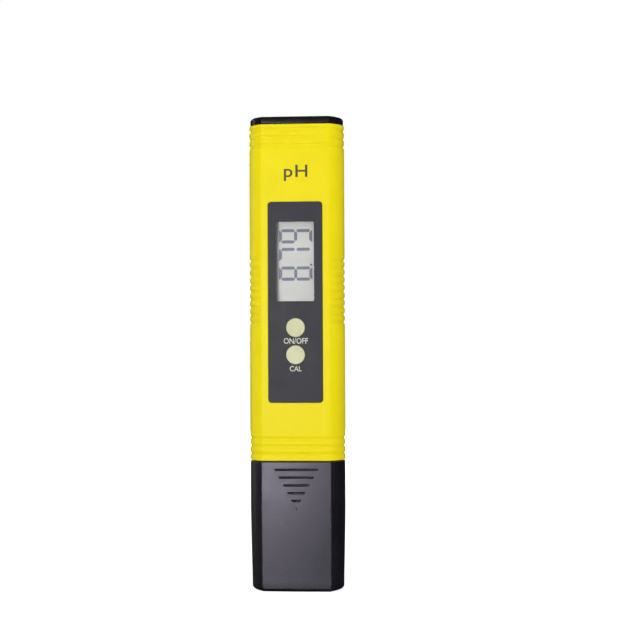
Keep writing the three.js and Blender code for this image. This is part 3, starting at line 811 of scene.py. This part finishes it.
def bar_outline(start, end, outer=None):
    """A display bar between two joints of a digit, in digit coordinates. Its
    ends are points, or slanted to a longer outer side."""
    start, end = Vector(start), Vector(end)
    along = (end - start).normalized()
    across = Vector((-along.y, along.x)) * (BAR / 2)
    tip_a, tip_b = start + along * BAR_GAP, end - along * BAR_GAP
    shoulder = along * (BAR / 2)
    points = []
    for side in (1, -1):
        first, last = (tip_a, tip_b) if side == 1 else (tip_b, tip_a)
        reach = shoulder if side == 1 else -shoulder
        if outer is not None and (across * side).dot(Vector(outer)) > 0:
            reach = -reach * 0.7
        points += [first, first + reach + across * side, last - reach + across * side]
    return points


def digit_bars(character):
    """Outlines of the bars that are on in one digit, centred on its middle."""
    w, h = DIGIT_WIDTH / 2, DIGIT_HEIGHT / 2
    joints = [
        ((-w, h), (w, h), (0, 1)), ((w, h), (w, 0), None), ((w, 0), (w, -h), None),
        ((-w, -h), (w, -h), (0, -1)), ((-w, 0), (-w, -h), None), ((-w, h), (-w, 0), None),
        ((-w, 0), (w, 0), None),
    ]
    chosen = zip(joints, BARS_ON[character])
    return [bar_outline(a, b, outer) for (a, b, outer), on in chosen if on]


def prisms(name, shapes, axis):
    """One object of several straight prisms, each an outline with its start and
    end along Y or Z. Outlines are in x and the axis that is left."""
    vertices, faces = [], []
    for outline, start, end in shapes:
        base, count = len(vertices), len(outline)
        for level in (start, end):
            vertices += [(x, level, v) if axis == Y else (x, v, level) for x, v in outline]
        faces.append(tuple(range(base, base + count)))
        faces.append(tuple(range(base + count, base + 2 * count)))
        for i in range(count):
            j = (i + 1) % count
            faces.append((base + i, base + j, base + count + j, base + count + i))
    return mesh_object(name, vertices, faces)


def make_display():
    """Display glass and its reading, turned to read up the pen."""
    (_, wide), (front, back), (low, high) = spans("lcd_panel")
    glass = plate("lcd_glass", rounded_rectangle(wide, low, high, 0.3), front, back)
    soften(glass, 0.1)
    make_piece(glass, "lcd_grey", ["lcd_panel"])

    outlines = []
    for number, character in enumerate("879"):
        middle = FIRST_DIGIT_Z + number * DIGIT_PITCH
        for bar in digit_bars(character):
            outlines.append([(-v, middle + u) for u, v in bar])
    point_z = FIRST_DIGIT_Z + DIGIT_PITCH / 2 - 0.2
    outlines.append(circle(DIGIT_HEIGHT / 2 + 0.1, point_z, 0.4, 16))
    shapes = [(outline, front - 0.03, front - 0.005) for outline in outlines]
    digits = prisms("lcd_digits", shapes, Y)
    make_piece(digits, "lcd_ink")


def make_key(name, node, z):
    """Press key: a low silicone dome with a soft rim and a hidden flange."""
    rim = 0.3
    shoulder_y = KEY_CROWN_Y + 0.16
    profile = [(0, KEY_CROWN_Y)]
    for i in range(1, 9):
        radius = (KEY_RADIUS - rim) * i / 8
        profile.append((radius, KEY_CROWN_Y + 0.16 * (radius / (KEY_RADIUS - rim)) ** 2))
    for i in range(1, 7):
        angle = math.radians(15 * i)
        radius = KEY_RADIUS - rim + rim * math.sin(angle)
        profile.append((radius, shoulder_y + rim * (1 - math.cos(angle))))
    flange_front = KEY_BACK_Y - 0.6
    profile += [
        (KEY_RADIUS, flange_front), (KEY_FLANGE_RADIUS, flange_front),
        (KEY_FLANGE_RADIUS, KEY_BACK_Y), (0, KEY_BACK_Y),
    ]
    key = turned(name, profile, Y, (0, 0, z))
    body = "power_key" if node == "power_button" else "cal_key"
    make_piece(key, "key_pale_green", [node], body)


def make_print(name, text, look, x, z, height, front, weight, widen, spacing=1.0):
    """Raised print: generic words in plain letters, x and z at the middle."""
    curve = bpy.data.curves.new(name, "FONT")
    curve.body = text
    curve.align_x = "CENTER"
    curve.size = height / 0.7 * MM
    curve.offset = weight * MM
    curve.space_character = spacing
    curve.extrude = 0.01 * MM
    curve.resolution_u = 6
    letters = add_object("letters", curve)
    mesh = final_mesh(letters)
    bpy.data.objects.remove(letters)
    upright = Matrix.Rotation(math.radians(90), 4, "X")
    mesh.transform(
        Matrix.Translation(Vector((x, front, z)) * MM) @ upright @ Matrix.Diagonal((widen, 1, 1, 1))
    )
    make_piece(add_object(name, mesh), look)


# ---- Battery lid and cells ----


LID_INSET, LID_EDGE = 0.3, 0.85
PLUG_BOTTOM = 146.4
PLUG_INSET, PLUG_LIP_INSET, PLUG_BORE_INSET = 2.35, 1.9, 3.45
TONGUE_NEAR, TONGUE_FAR, TONGUE_HALF_WIDTH = 10.75, 12.05, 3


def make_lid():
    """Battery lid: cover with a round upper edge, plug, seal lip, tongues."""
    rows = [(LID_BOTTOM, LID_INSET + 0.12), (LID_BOTTOM + 0.12, LID_INSET)]
    rows += [(PEN_TOP - drop, LID_INSET + pull) for drop, pull in quarter_turn(LID_EDGE, 8)[::-1]]
    lid = tower("lid_moulding", rows)
    root = LID_BOTTOM + 0.3
    join(lid, [cut_tower(PLUG_INSET, PLUG_BOTTOM, root),
               cut_tower(PLUG_LIP_INSET, PLUG_BOTTOM, PLUG_BOTTOM + 0.45)])
    cut(lid, [cut_tower(PLUG_BORE_INSET, PLUG_BOTTOM - 1, LID_BOTTOM)])
    tongues = []
    for side in (-1, 1):
        edges = sorted((side * TONGUE_NEAR, side * TONGUE_FAR))
        outline = box_outline(*edges, node_span("battery_lid", Z)[0], root)
        tongues.append(plate("tongue", outline, -TONGUE_HALF_WIDTH, TONGUE_HALF_WIDTH))
    join(lid, tongues)
    soften(lid, 0.08, angle=50)
    make_piece(lid, "lid_black", ["battery_lid"], "lid")


def make_ring(name, node, look, body):
    """A seal ring with a round outer face, from its CAD node's height."""
    low, high = node_span(node, Z)
    outer = HALF_WIDTH - node_span(node, X)[1]
    inner = outer + (1.0 if node == "cap_seal_ring" else 0.6)
    height = high - low
    rows_out, rows_in = [], []
    for i in range(9):
        angle = math.radians(-90 + 180 * i / 8)
        z = low + height * (0.5 + 0.5 * math.sin(angle))
        bulge = 0.35 * height * (1 - math.cos(angle))
        rows_out.append(section(z, outer + bulge * 0.6))
        rows_in.append(section(z, inner))
    ring = [a + b[::-1] for a, b in zip(rows_out, rows_in)]
    make_piece(hoop(name, ring), look, [node], body)


def hoop(name, rows):
    """A closed band: each row holds an outer ring and the inner one reversed."""
    half = len(rows[0]) // 2
    vertices = [point for row in rows for point in row]
    count = 2 * half
    last = (len(rows) - 1) * count
    faces = []
    for row in range(len(rows) - 1):
        for start in (0, half):
            for i in range(half):
                a, b = start + i, start + (i + 1) % half
                low, high = row * count, (row + 1) * count
                faces.append((low + a, low + b, high + b, high + a))
    for base in (0, last):
        for i in range(half):
            j = (i + 1) % half
            faces.append((base + i, base + j, base + count - 1 - j, base + count - 1 - i))
    return mesh_object(name, vertices, faces)


def make_cell(name, node):
    """Button cell: rolled can, dark gasket line and the smaller cap."""
    (_, radius), (front, back), upright = spans(node)
    profile = [
        (0, front), (radius - 1.0, front), (radius - 0.95, front + 0.06),
        (radius - 0.6, front + 0.06),
        (radius - 0.2, front + 0.12), (radius, front + 0.4), (radius, back - 0.9),
        (radius - 0.15, back - 0.55), (radius - 0.45, back - 0.36), (radius - 0.75, back - 0.34),
        (radius - 0.8, back - 0.5), (radius - 1.05, back - 0.5), (radius - 1.1, back - 0.2),
        (radius - 1.35, back), (0, back),
    ]
    cell = turned(name, profile, Y, (0, 0, middle(upright)), 72)
    make_piece(cell, "steel", [node])


def make_cradle():
    """Battery cradle: cheeks cored out from above, with a round-bottomed slot
    that widens at its mouth."""
    (_, wide), (front, back), (low, high) = spans("battery_cradle")
    cell_z = middle(node_span("battery_cell_front", Z))
    slot = node_span("battery_cell_front", X)[1] + 0.15
    lead_in = 0.8
    arch = [(slot * math.cos(math.radians(a)), cell_z + slot * math.sin(math.radians(a)))
            for a in range(180, 361, 6)]
    arch += [(slot, high - lead_in), (slot + lead_in + 1, high + 1),
             (-slot - lead_in - 1, high + 1), (-slot, high - lead_in)]
    cutters = [plate("slot", arch, front - 1, back + 1)]
    for side in (-1, 1):
        left, right = sorted((side * (slot + 1.5), side * (wide - 1.1)))
        core = box_outline(left, right, cell_z - 3, high + 1)
        cutters.append(plate("core", core, front + 1.1, -0.5))
        cutters.append(plate("core", core, 0.5, back - 1.1))
    cradle = plate("cradle_moulding", rounded_rectangle(wide, low, high, 0.5), front, back)
    cut(cradle, cutters)
    soften(cradle, 0.18, angle=50)
    make_piece(cradle, "cradle_white", ["battery_cradle"])


def make_contact(name, node, half_turns):
    """Leaf contact: a plate with a sprung tongue and a dimple that touches the
    cell, and a leg down to a foot over the board. Drawn behind the rear cell,
    then turned about the pen's axis."""
    near, far = 5.6, 5.85
    foot_z = node_span(node, Z)[0]
    centre = middle(node_span("battery_cell_rear", Z))
    leaf = plate(name, rounded_rectangle(4, centre - 4, centre + 4, 0.9), near, far)
    leg = plate("leg", box_outline(-5, -2.6, foot_z, centre - 3), near, far)
    foot = plate("foot", box_outline(-5, -2.6, foot_z, foot_z + 0.3), -1.6, far - 0.1)
    dome = [(0, near - 0.12), (0.4, near - 0.1), (0.75, near - 0.03), (0.9, near + 0.1),
            (0, near + 0.1)]
    join(leaf, [leg, foot, turned("dimple", dome, Y, (0, 0, centre), 32)])
    cuts = []
    for left, right, low, high in ((-2, -1.6, -2.4, 2.2), (1.6, 2, -2.4, 2.2), (-2, 2, -2.4, -2)):
        outline = box_outline(left, right, centre + low, centre + high)
        cuts.append(plate("cut", outline, near - 1, far + 1))
    cut(leaf, cuts)
    soften(leaf, 0.05, angle=50)
    leaf.data.transform(Matrix.Rotation(math.pi * half_turns, 4, "Z"))
    make_piece(leaf, "nickel", [node])


# ---- Circuit board's parts ----


def make_screw(name, node):
    """Pan-head screw with a cross recess and a ridged shank."""
    (left, right), (front, back), upright = spans(node)
    x, z = (left + right) / 2, middle(upright)
    head, shank = (right - left) / 2, 0.75
    seat = front + 0.7
    profile = [(0, front)]
    for share, drop in ((0.5, 0.01), (0.72, 0.06), (0.88, 0.16), (0.97, 0.3), (1, 0.46)):
        profile.append((head * share, front + drop))
    profile += [(head * 0.97, seat), (shank, seat)]
    ridge = seat + 1.4
    while ridge < back - 1:
        profile += [(shank, ridge), (shank - 0.16, ridge + 0.2)]
        ridge += 0.4
    profile += [(shank * 0.8, back - 0.5), (0, back)]
    screw = turned(name, profile, Y, (x, 0, z), 40)
    cross = [plate("cross", box_outline(x - a, x + a, z - b, z + b), front - 1, front + 0.45)
             for a, b in ((0.85, 0.17), (0.17, 0.85))]
    cut(screw, cross)
    make_piece(screw, "steel", [node])


def make_switch(name, node):
    """Push switch: moulded body with four rivets through a steel cover."""
    (_, wide), (front, back), (low, high) = spans(node)
    z, cover = (low + high) / 2, 0.25
    corners = [(x, z + y) for x in (-2.3, 2.3) for y in (-2.3, 2.3)]
    body = plate(f"{name}_body", rounded_rectangle(wide, low, high, 0.35, 4), front + cover, back)
    rivets = [plate("rivet", circle(*corner, 0.35, 24), front, front + 1) for corner in corners]
    join(body, rivets)
    cut(body, [plate("well", circle(0, z, 1.65), front - 1, -3.2)])
    soften(body, 0.05, angle=50)
    make_piece(body, "chip_black", [node])
    metal = plate(f"{name}_cover", rounded_rectangle(wide - 0.1, low + 0.1, high - 0.1, 0.3, 4),
                  front + 0.04, front + cover - 0.01)
    holes = [plate("hole", circle(*corner, 0.4, 24), front - 1, front + 1) for corner in corners]
    holes.append(plate("hole", circle(0, z, 1.65), front - 1, front + 1))
    cut(metal, holes)
    make_piece(metal, "steel")


def make_chip(name, node, count, pitch):
    """Moulded chip with drafted sides, a corner mark and bent legs."""
    (_, wide), (board, top), (low, high) = spans(node)
    waist = board + 0.7
    rings = []
    for y, inset in ((board + 0.1, 0.1), (waist, 0), (top, 0.1)):
        outline = rounded_rectangle(wide - inset, low + inset, high - inset, 0.15, 3)
        rings.append([(x, y, z) for x, z in outline])
    chip = skin(f"{name}_body", rings)
    mark = plate("mark", circle(0.9 - wide, high - 0.9, 0.35, 24), top - 0.08, top + 1)
    cut(chip, [mark])
    soften(chip, 0.04, angle=50)
    make_piece(chip, "chip_black", [node])
    bend = [(-0.1, waist), (0.25, waist), (0.35, board + 0.14), (0.85, board + 0.14),
            (0.85, board + 0.02), (0.25, board + 0.02), (0.15, waist - 0.12), (-0.1, waist - 0.12)]
    legs = []
    for i in range(count):
        z = (low + high) / 2 + (i - (count - 1) / 2) * pitch
        for side in (-1, 1):
            legs.append(([(side * (wide + x), y) for x, y in bend], z - 0.15, z + 0.15))
    make_piece(prisms(f"{name}_legs", legs, Z), "steel")


def make_capacitor():
    """Electrolytic capacitor: can with a rolled groove and a scored top."""
    (left, right), (board, top), upright = spans("filter_capacitor")
    x, z = (left + right) / 2, middle(upright)
    r = (right - left) / 2
    profile = [
        (0, board), (r - 0.1, board), (r, board + 0.1), (r, board + 0.55), (r - 0.15, board + 0.7),
        (r, board + 0.85), (r, top - 0.35), (r - 0.1, top - 0.1), (r - 0.3, top),
        (r - 0.45, top - 0.12), (0, top - 0.12),
    ]
    can = turned("capacitor_can", profile, Y, (x, 0, z), 48)
    scores = [plate("score", box_outline(x - a, x + a, z - b, z + b), top - 0.22, top + 1)
              for a, b in ((1.2, 0.06), (0.06, 1.2))]
    cut(can, scores)
    make_piece(can, "epoxy_dark", ["filter_capacitor"])


def make_crystal():
    """Crystal: a drawn can with a flange at its base, lying on the board."""
    (left, right), depth, (low, high) = spans("crystal_can")
    r = (right - left) / 2
    profile = [
        (0, low), (r - 0.1, low), (r, low + 0.1), (r, low + 0.4), (r - 0.1, low + 0.5),
        (r - 0.1, high - 0.35), (r - 0.18, high - 0.12), (r - 0.4, high), (0, high),
    ]
    place = ((left + right) / 2, middle(depth), 0)
    make_piece(turned("crystal_shell", profile, Z, place, 40), "steel", ["crystal_can"])


# ---- Electrode end ----


SPIGOT_INSET, NECK_INSET = 1.75, 2.2
SEAL_GROOVE_INSET, RIB_GROOVE_INSET = 2.9, 2.75
CHAMBER_INSET, CHAMBER_FLOOR = 3.3, 27
GUARD_INSET, GUARD_ROOF = 3.45, 25
ARCH_RADIUS, ARCH_Z = 6.5, 17


def make_collar():
    """Collar: case spigot, neck with its seal groove, chamber, bulb guard."""
    bottom, top = node_span("electrode_collar", Z)
    seal_low, seal_high = node_span("cap_seal_ring", Z)
    collar = tower("collar_moulding", [
        (bottom, 2.75), (bottom + 0.15, 2.5), (bottom + 0.5, 2.36), (30, NECK_INSET),
        (CASE_BOTTOM + 0.5, NECK_INSET)])
    join(collar, [cut_tower(SPIGOT_INSET, CASE_BOTTOM + 0.2, top)])
    groove_band = hoop("groove", [
        section(z, 1) + section(z, SEAL_GROOVE_INSET)[::-1]
        for z in (seal_low - 0.05, seal_high + 0.05)])
    rib_band = hoop("rib", [
        section(z, 1) + section(z, RIB_GROOVE_INSET)[::-1] for z in (48.8, 50.4)])
    arch = [(ARCH_RADIUS * math.cos(math.radians(a)),
             ARCH_Z + ARCH_RADIUS * math.sin(math.radians(a))) for a in range(0, 181, 6)]
    arch += [(-ARCH_RADIUS, bottom - 1), (ARCH_RADIUS, bottom - 1)]
    junction_x = middle(node_span("reference_junction", X))
    probe_x = middle(node_span("temperature_probe", X))
    cutters = [
        groove_band, rib_band,
        cut_tower(CHAMBER_INSET, CHAMBER_FLOOR, top + 1),
        cut_tower(GUARD_INSET, bottom - 1, GUARD_ROOF),
        plate("arch", arch, -9, 9),
    ]
    for x, radius in ((0, 3.3), (junction_x, 1.05), (probe_x, 1.25)):
        bore = [(0, 24), (radius, 24), (radius, 28), (0, 28)]
        cutters.append(turned("bore", bore, Z, (x, 0, 0), 48))
    cut(collar, cutters)
    soften(collar, 0.12, angle=50)
    make_piece(collar, "collar_black", ["electrode_collar"])


def make_bulb():
    """Glass tube with its blown bulb, one wall thick and open at the top."""
    (_, bulb), _, (low, high) = spans("glass_electrode")
    stem, wall = 3.2, 0.55
    centre = low + bulb
    shoulder = 40
    outside = arc_profile(bulb, centre, -90, shoulder, 20)
    inside = arc_profile(bulb - wall, centre, shoulder, -90, 20)
    neck_z = centre + 3.1
    profile = outside + [(stem, neck_z), (stem, high - 0.2), (stem - 0.2, high)]
    profile += [(stem - wall, high), (stem - wall, neck_z)] + inside
    glass = turned("bulb_glass", profile, Z, steps=72)
    make_piece(glass, "electrode_glass", ["glass_electrode"])


def make_probe():
    """Temperature probe: a steel sheath with a round tip."""
    (left, right), _, (low, high) = spans("temperature_probe")
    radius = (right - left) / 2
    profile = arc_profile(radius, low + radius, -90, 0, 10) + [(radius, high), (0, high)]
    probe = turned("probe_sheath", profile, Z, ((left + right) / 2, 0, 0), 48)
    make_piece(probe, "steel", ["temperature_probe"])


# ---- Storage cap ----

CAP_ROWS = [(5.6, 0.66, 0), (11.3, 0.52, 0), (19, 0.36, 0), (26, 0.25, 0), (33, 0.25, 0)]
CAP_WALL_INSET, CAP_FLOOR = 1.75, 1.8
CAP_CROWN = 0.22
CAP_EXTRA_REACH = 0.15
ARROW_TOP, ARROW_TIP = 39.1, 26.4
ARROW_HALF_WIDTH = 7.1
ARROW_PITCH = 2.46
ARROW_BAR = 0.8
ARROW_DEPTH = 0.5


def cap_profile():
    """Rows of the cap's outside, with a round base and a round mouth edge."""
    base_round, mouth_round = 1.1, 0.3
    rows = []
    for drop, pull in quarter_turn(base_round, 8, end=62):
        rows.append((drop, 0.72 + pull, 1.4 * (pull / base_round) ** 2))
    rows.append((3, 0.7, 0))
    rows += CAP_ROWS
    for drop, pull in quarter_turn(mouth_round, 4)[::-1]:
        rows.append((CAP_TOP - drop, 0.25 + pull, 0))
    return rows


def arrow_cutters(face):
    """The arrow's bars, trapeziums cut as troughs that rise to a steeper lower
    lip, and its small tip."""
    slope = ARROW_HALF_WIDTH / (ARROW_TOP - ARROW_TIP)
    cutters = []
    for i in range(6):
        top = ARROW_TOP - i * ARROW_PITCH
        bottom = top - ARROW_BAR
        rings = []
        for depth, top_in, bottom_in in ((-1, 0, 0), (0, 0, 0), (ARROW_DEPTH, 0.5, 0.24)):
            high, low = top - top_in, bottom + bottom_in
            wide, narrow = (max(0.06, slope * (z - ARROW_TIP)) for z in (high, low))
            y = face + depth
            rings.append([(-narrow, y, low), (narrow, y, low), (wide, y, high), (-wide, y, high)])
        cutters.append(skin("bar", rings))
    return cutters


def make_cap():
    """Storage cap: deep cup with the arrow engraved in its front."""
    cap = tower("cap_moulding", [(*row, CAP_CROWN, CAP_EXTRA_REACH) for row in cap_profile()])
    cut(cap, [cut_tower(CAP_WALL_INSET, CAP_FLOOR, CAP_TOP + 1)])
    cut(cap, arrow_cutters(0.25 - CAP_CROWN - HALF_DEPTH))
    soften(cap, 0.08, angle=30)
    make_piece(cap, "cap_black", ["protective_cap"], "cap")


def make_sponge():
    """Foam pad in the bottom of the cap, soft at its edges and crowned."""
    low, high = node_span("storage_sponge", Z)
    inset = HALF_WIDTH - node_span("storage_sponge", X)[1]
    edge = 0.7
    rows = [(low + drop, inset + pull) for drop, pull in quarter_turn(edge, 5)]
    rows += [(high - drop, inset + pull) for drop, pull in quarter_turn(edge, 5)[::-1]]
    sponge = tower("cap_sponge", rows)
    make_piece(sponge, "sponge_foam", ["storage_sponge"], "cap")


# ---- Build ----

make_front_case()
make_rear_case()
make_label()
make_pane()
make_display()
make_key("power_key_cap", "power_button", POWER_KEY_Z)
make_key("cal_key_cap", "cal_button", CAL_KEY_Z)
label_front = LABEL_SUNK - HALF_DEPTH
make_print("print_ph", "pH", "print_dark",
           0.35, 131.6, 3.85, -HALF_DEPTH, 0.06, 1.17, 1.1)
make_print("print_power", "ON/OFF", "print_cream",
           0.1, 78.65, 1.75, label_front, 0.02, 0.86)
make_print("print_cal", "CAL", "print_cream",
           0.0, 69.9, 1.65, label_front, 0.02, 0.88)
make_lid()
make_ring("lid_ring", "lid_seal", "seal_rubber", "lid")
make_cell("cell_front", "battery_cell_front")
make_cell("cell_rear", "battery_cell_rear")
make_cradle()
make_contact("contact_negative", "battery_contact_negative", 0)
make_contact("contact_positive", "battery_contact_positive", 1)
for number in (1, 2, 3, 4):
    make_screw(f"screw_{number}", f"board_screw_{number}")
make_switch("power", "power_switch")
make_switch("cal", "cal_switch")
make_chip("controller", "controller_chip", 10, 0.75)
make_chip("amplifier", "amplifier_chip", 4, 1.2)
make_capacitor()
make_crystal()
make_collar()
make_ring("neck_ring", "cap_seal_ring", "seal_rubber", "pen")
make_bulb()
make_probe()
make_cap()
make_sponge()

# Pieces that keep their CAD shape take the look of their record slot, and
# rounded edges.
for part in frame["record"]["subparts"]:
    node = frame["nodes"][part["node"]]
    if node.hide_render:
        continue
    dress(node, part["material_slot"])
    round_edges(node, "rounding", 0.1, 45)

# ---- Stage, light and camera ----


def make_floor():
    """Plain pale floor under the pen."""
    size = 3000
    corners = [(-size, -size, 0), (size, -size, 0), (size, size, 0), (-size, size, 0)]
    floor = mesh_object("floor", corners, [(0, 1, 2, 3)])
    look = Look("floor_white", 0.6)
    cloud = look.noise(120, detail=2)
    paper = look.mix(cloud, "f4f4f4", "f8f8f8")
    path = look.add("ShaderNodeLightPath")
    look.set("Base Color", look.mix(path.outputs["Is Glossy Ray"], paper, "303030"))
    look.set("Specular IOR Level", 0.0)
    look.set("Emission Color", (1, 1, 1, 1))
    look.set("Emission Strength", look.times(path.outputs["Is Camera Ray"], 0.7))
    floor.data.materials.append(look.material)


def make_world():
    """White surroundings: they light softly from all round, and mirror as a
    dark room with a pale ceiling."""
    world = bpy.data.worlds.new("studio")
    world.use_nodes = True
    tree = world.node_tree

    def calculate(operation, *inputs):
        return add_node(tree, "ShaderNodeMath", enumerate(inputs), operation=operation).outputs[0]

    path = add_node(tree, "ShaderNodeLightPath").outputs
    place = add_node(tree, "ShaderNodeTexCoord").outputs["Generated"]
    height = add_node(tree, "ShaderNodeSeparateXYZ", [(0, place)]).outputs[2]
    ceiling_range = enumerate((height, 0.6, 0.9, 0.0, 0.35))
    ceiling = add_node(tree, "ShaderNodeMapRange", ceiling_range).outputs[0]
    seen = calculate("MULTIPLY_ADD", path["Is Camera Ray"], 0.97, 0.03)
    soft = calculate("MAXIMUM", path["Is Diffuse Ray"], path["Is Transmission Ray"])
    mirrored = calculate("MULTIPLY_ADD", path["Is Glossy Ray"], ceiling, seen)
    background = tree.nodes["Background"].inputs
    feed(tree, background["Color"], (1, 1, 1, 1))
    feed(tree, background["Strength"], calculate("MULTIPLY_ADD", soft, 0.38, mirrored))
    bpy.context.scene.world = world


def around(azimuth, distance, height):
    """A place round the pen: azimuth 0 faces the display, 90 is on the +X side."""
    a = math.radians(azimuth)
    return Vector((math.sin(a) * distance, -math.cos(a) * distance, height))


def make_softbox(name, azimuth, distance, height, wide, tall, power, mirrored=True):
    """A rectangular light whose middle stands at a height, aimed level at the
    pen's axis, or down at its middle from above. Azimuth as the camera's."""
    lamp = bpy.data.lights.new(name, "AREA")
    lamp.shape = "RECTANGLE"
    lamp.size, lamp.size_y = wide * MM, tall * MM
    lamp.energy = power
    obj = add_object(name, lamp)
    place = around(azimuth, distance, height)
    aim = Vector((0, 0, min(height, PEN_TOP / 2)))
    obj.location = place * MM
    obj.rotation_euler = (aim - place).to_track_quat("-Z", "Y").to_euler()
    obj.visible_camera = False
    obj.visible_glossy = mirrored


CAMERA_AZIMUTH = 4.8
CAMERA_DISTANCE = 430.0
EYE_HEIGHT = 80.0
AIM_HEIGHT = 86.2
AIM_SIDE = 7.3
ROLL = -0.27
LENS = 75.0


def make_camera():
    """Camera level with the keys and a little to the display's right."""
    camera = bpy.data.cameras.new("camera")
    camera.lens = LENS
    camera.sensor_width = 36.0
    camera.clip_start, camera.clip_end = 0.01, 20
    obj = add_object("camera", camera)
    a = math.radians(CAMERA_AZIMUTH)
    eye = around(CAMERA_AZIMUTH, CAMERA_DISTANCE, EYE_HEIGHT)
    aim = Vector((math.cos(a) * AIM_SIDE, math.sin(a) * AIM_SIDE, AIM_HEIGHT))
    obj.location = eye * MM
    turn = (aim - eye).to_track_quat("-Z", "Y").to_matrix().to_4x4()
    obj.rotation_euler = (turn @ Matrix.Rotation(math.radians(ROLL), 4, "Z")).to_euler()
    bpy.context.scene.camera = obj


make_floor()
make_world()
make_softbox("key_light", -14, 650, 82, 140, 150, 1.4)
make_softbox("top_light", -8, 350, 600, 400, 300, 1.0, mirrored=False)
make_softbox("crease_light", 26, 650, 100, 60, 200, 0.3)
make_softbox("left_strip", -110, 500, 160, 60, 320, 0.2)
make_softbox("right_fill", 75, 500, 160, 120, 320, 0.42, mirrored=False)
make_softbox("back_light", 190, 700, 250, 400, 400, 1.8)
make_camera()
bpy.context.scene.view_settings.view_transform = "Standard"
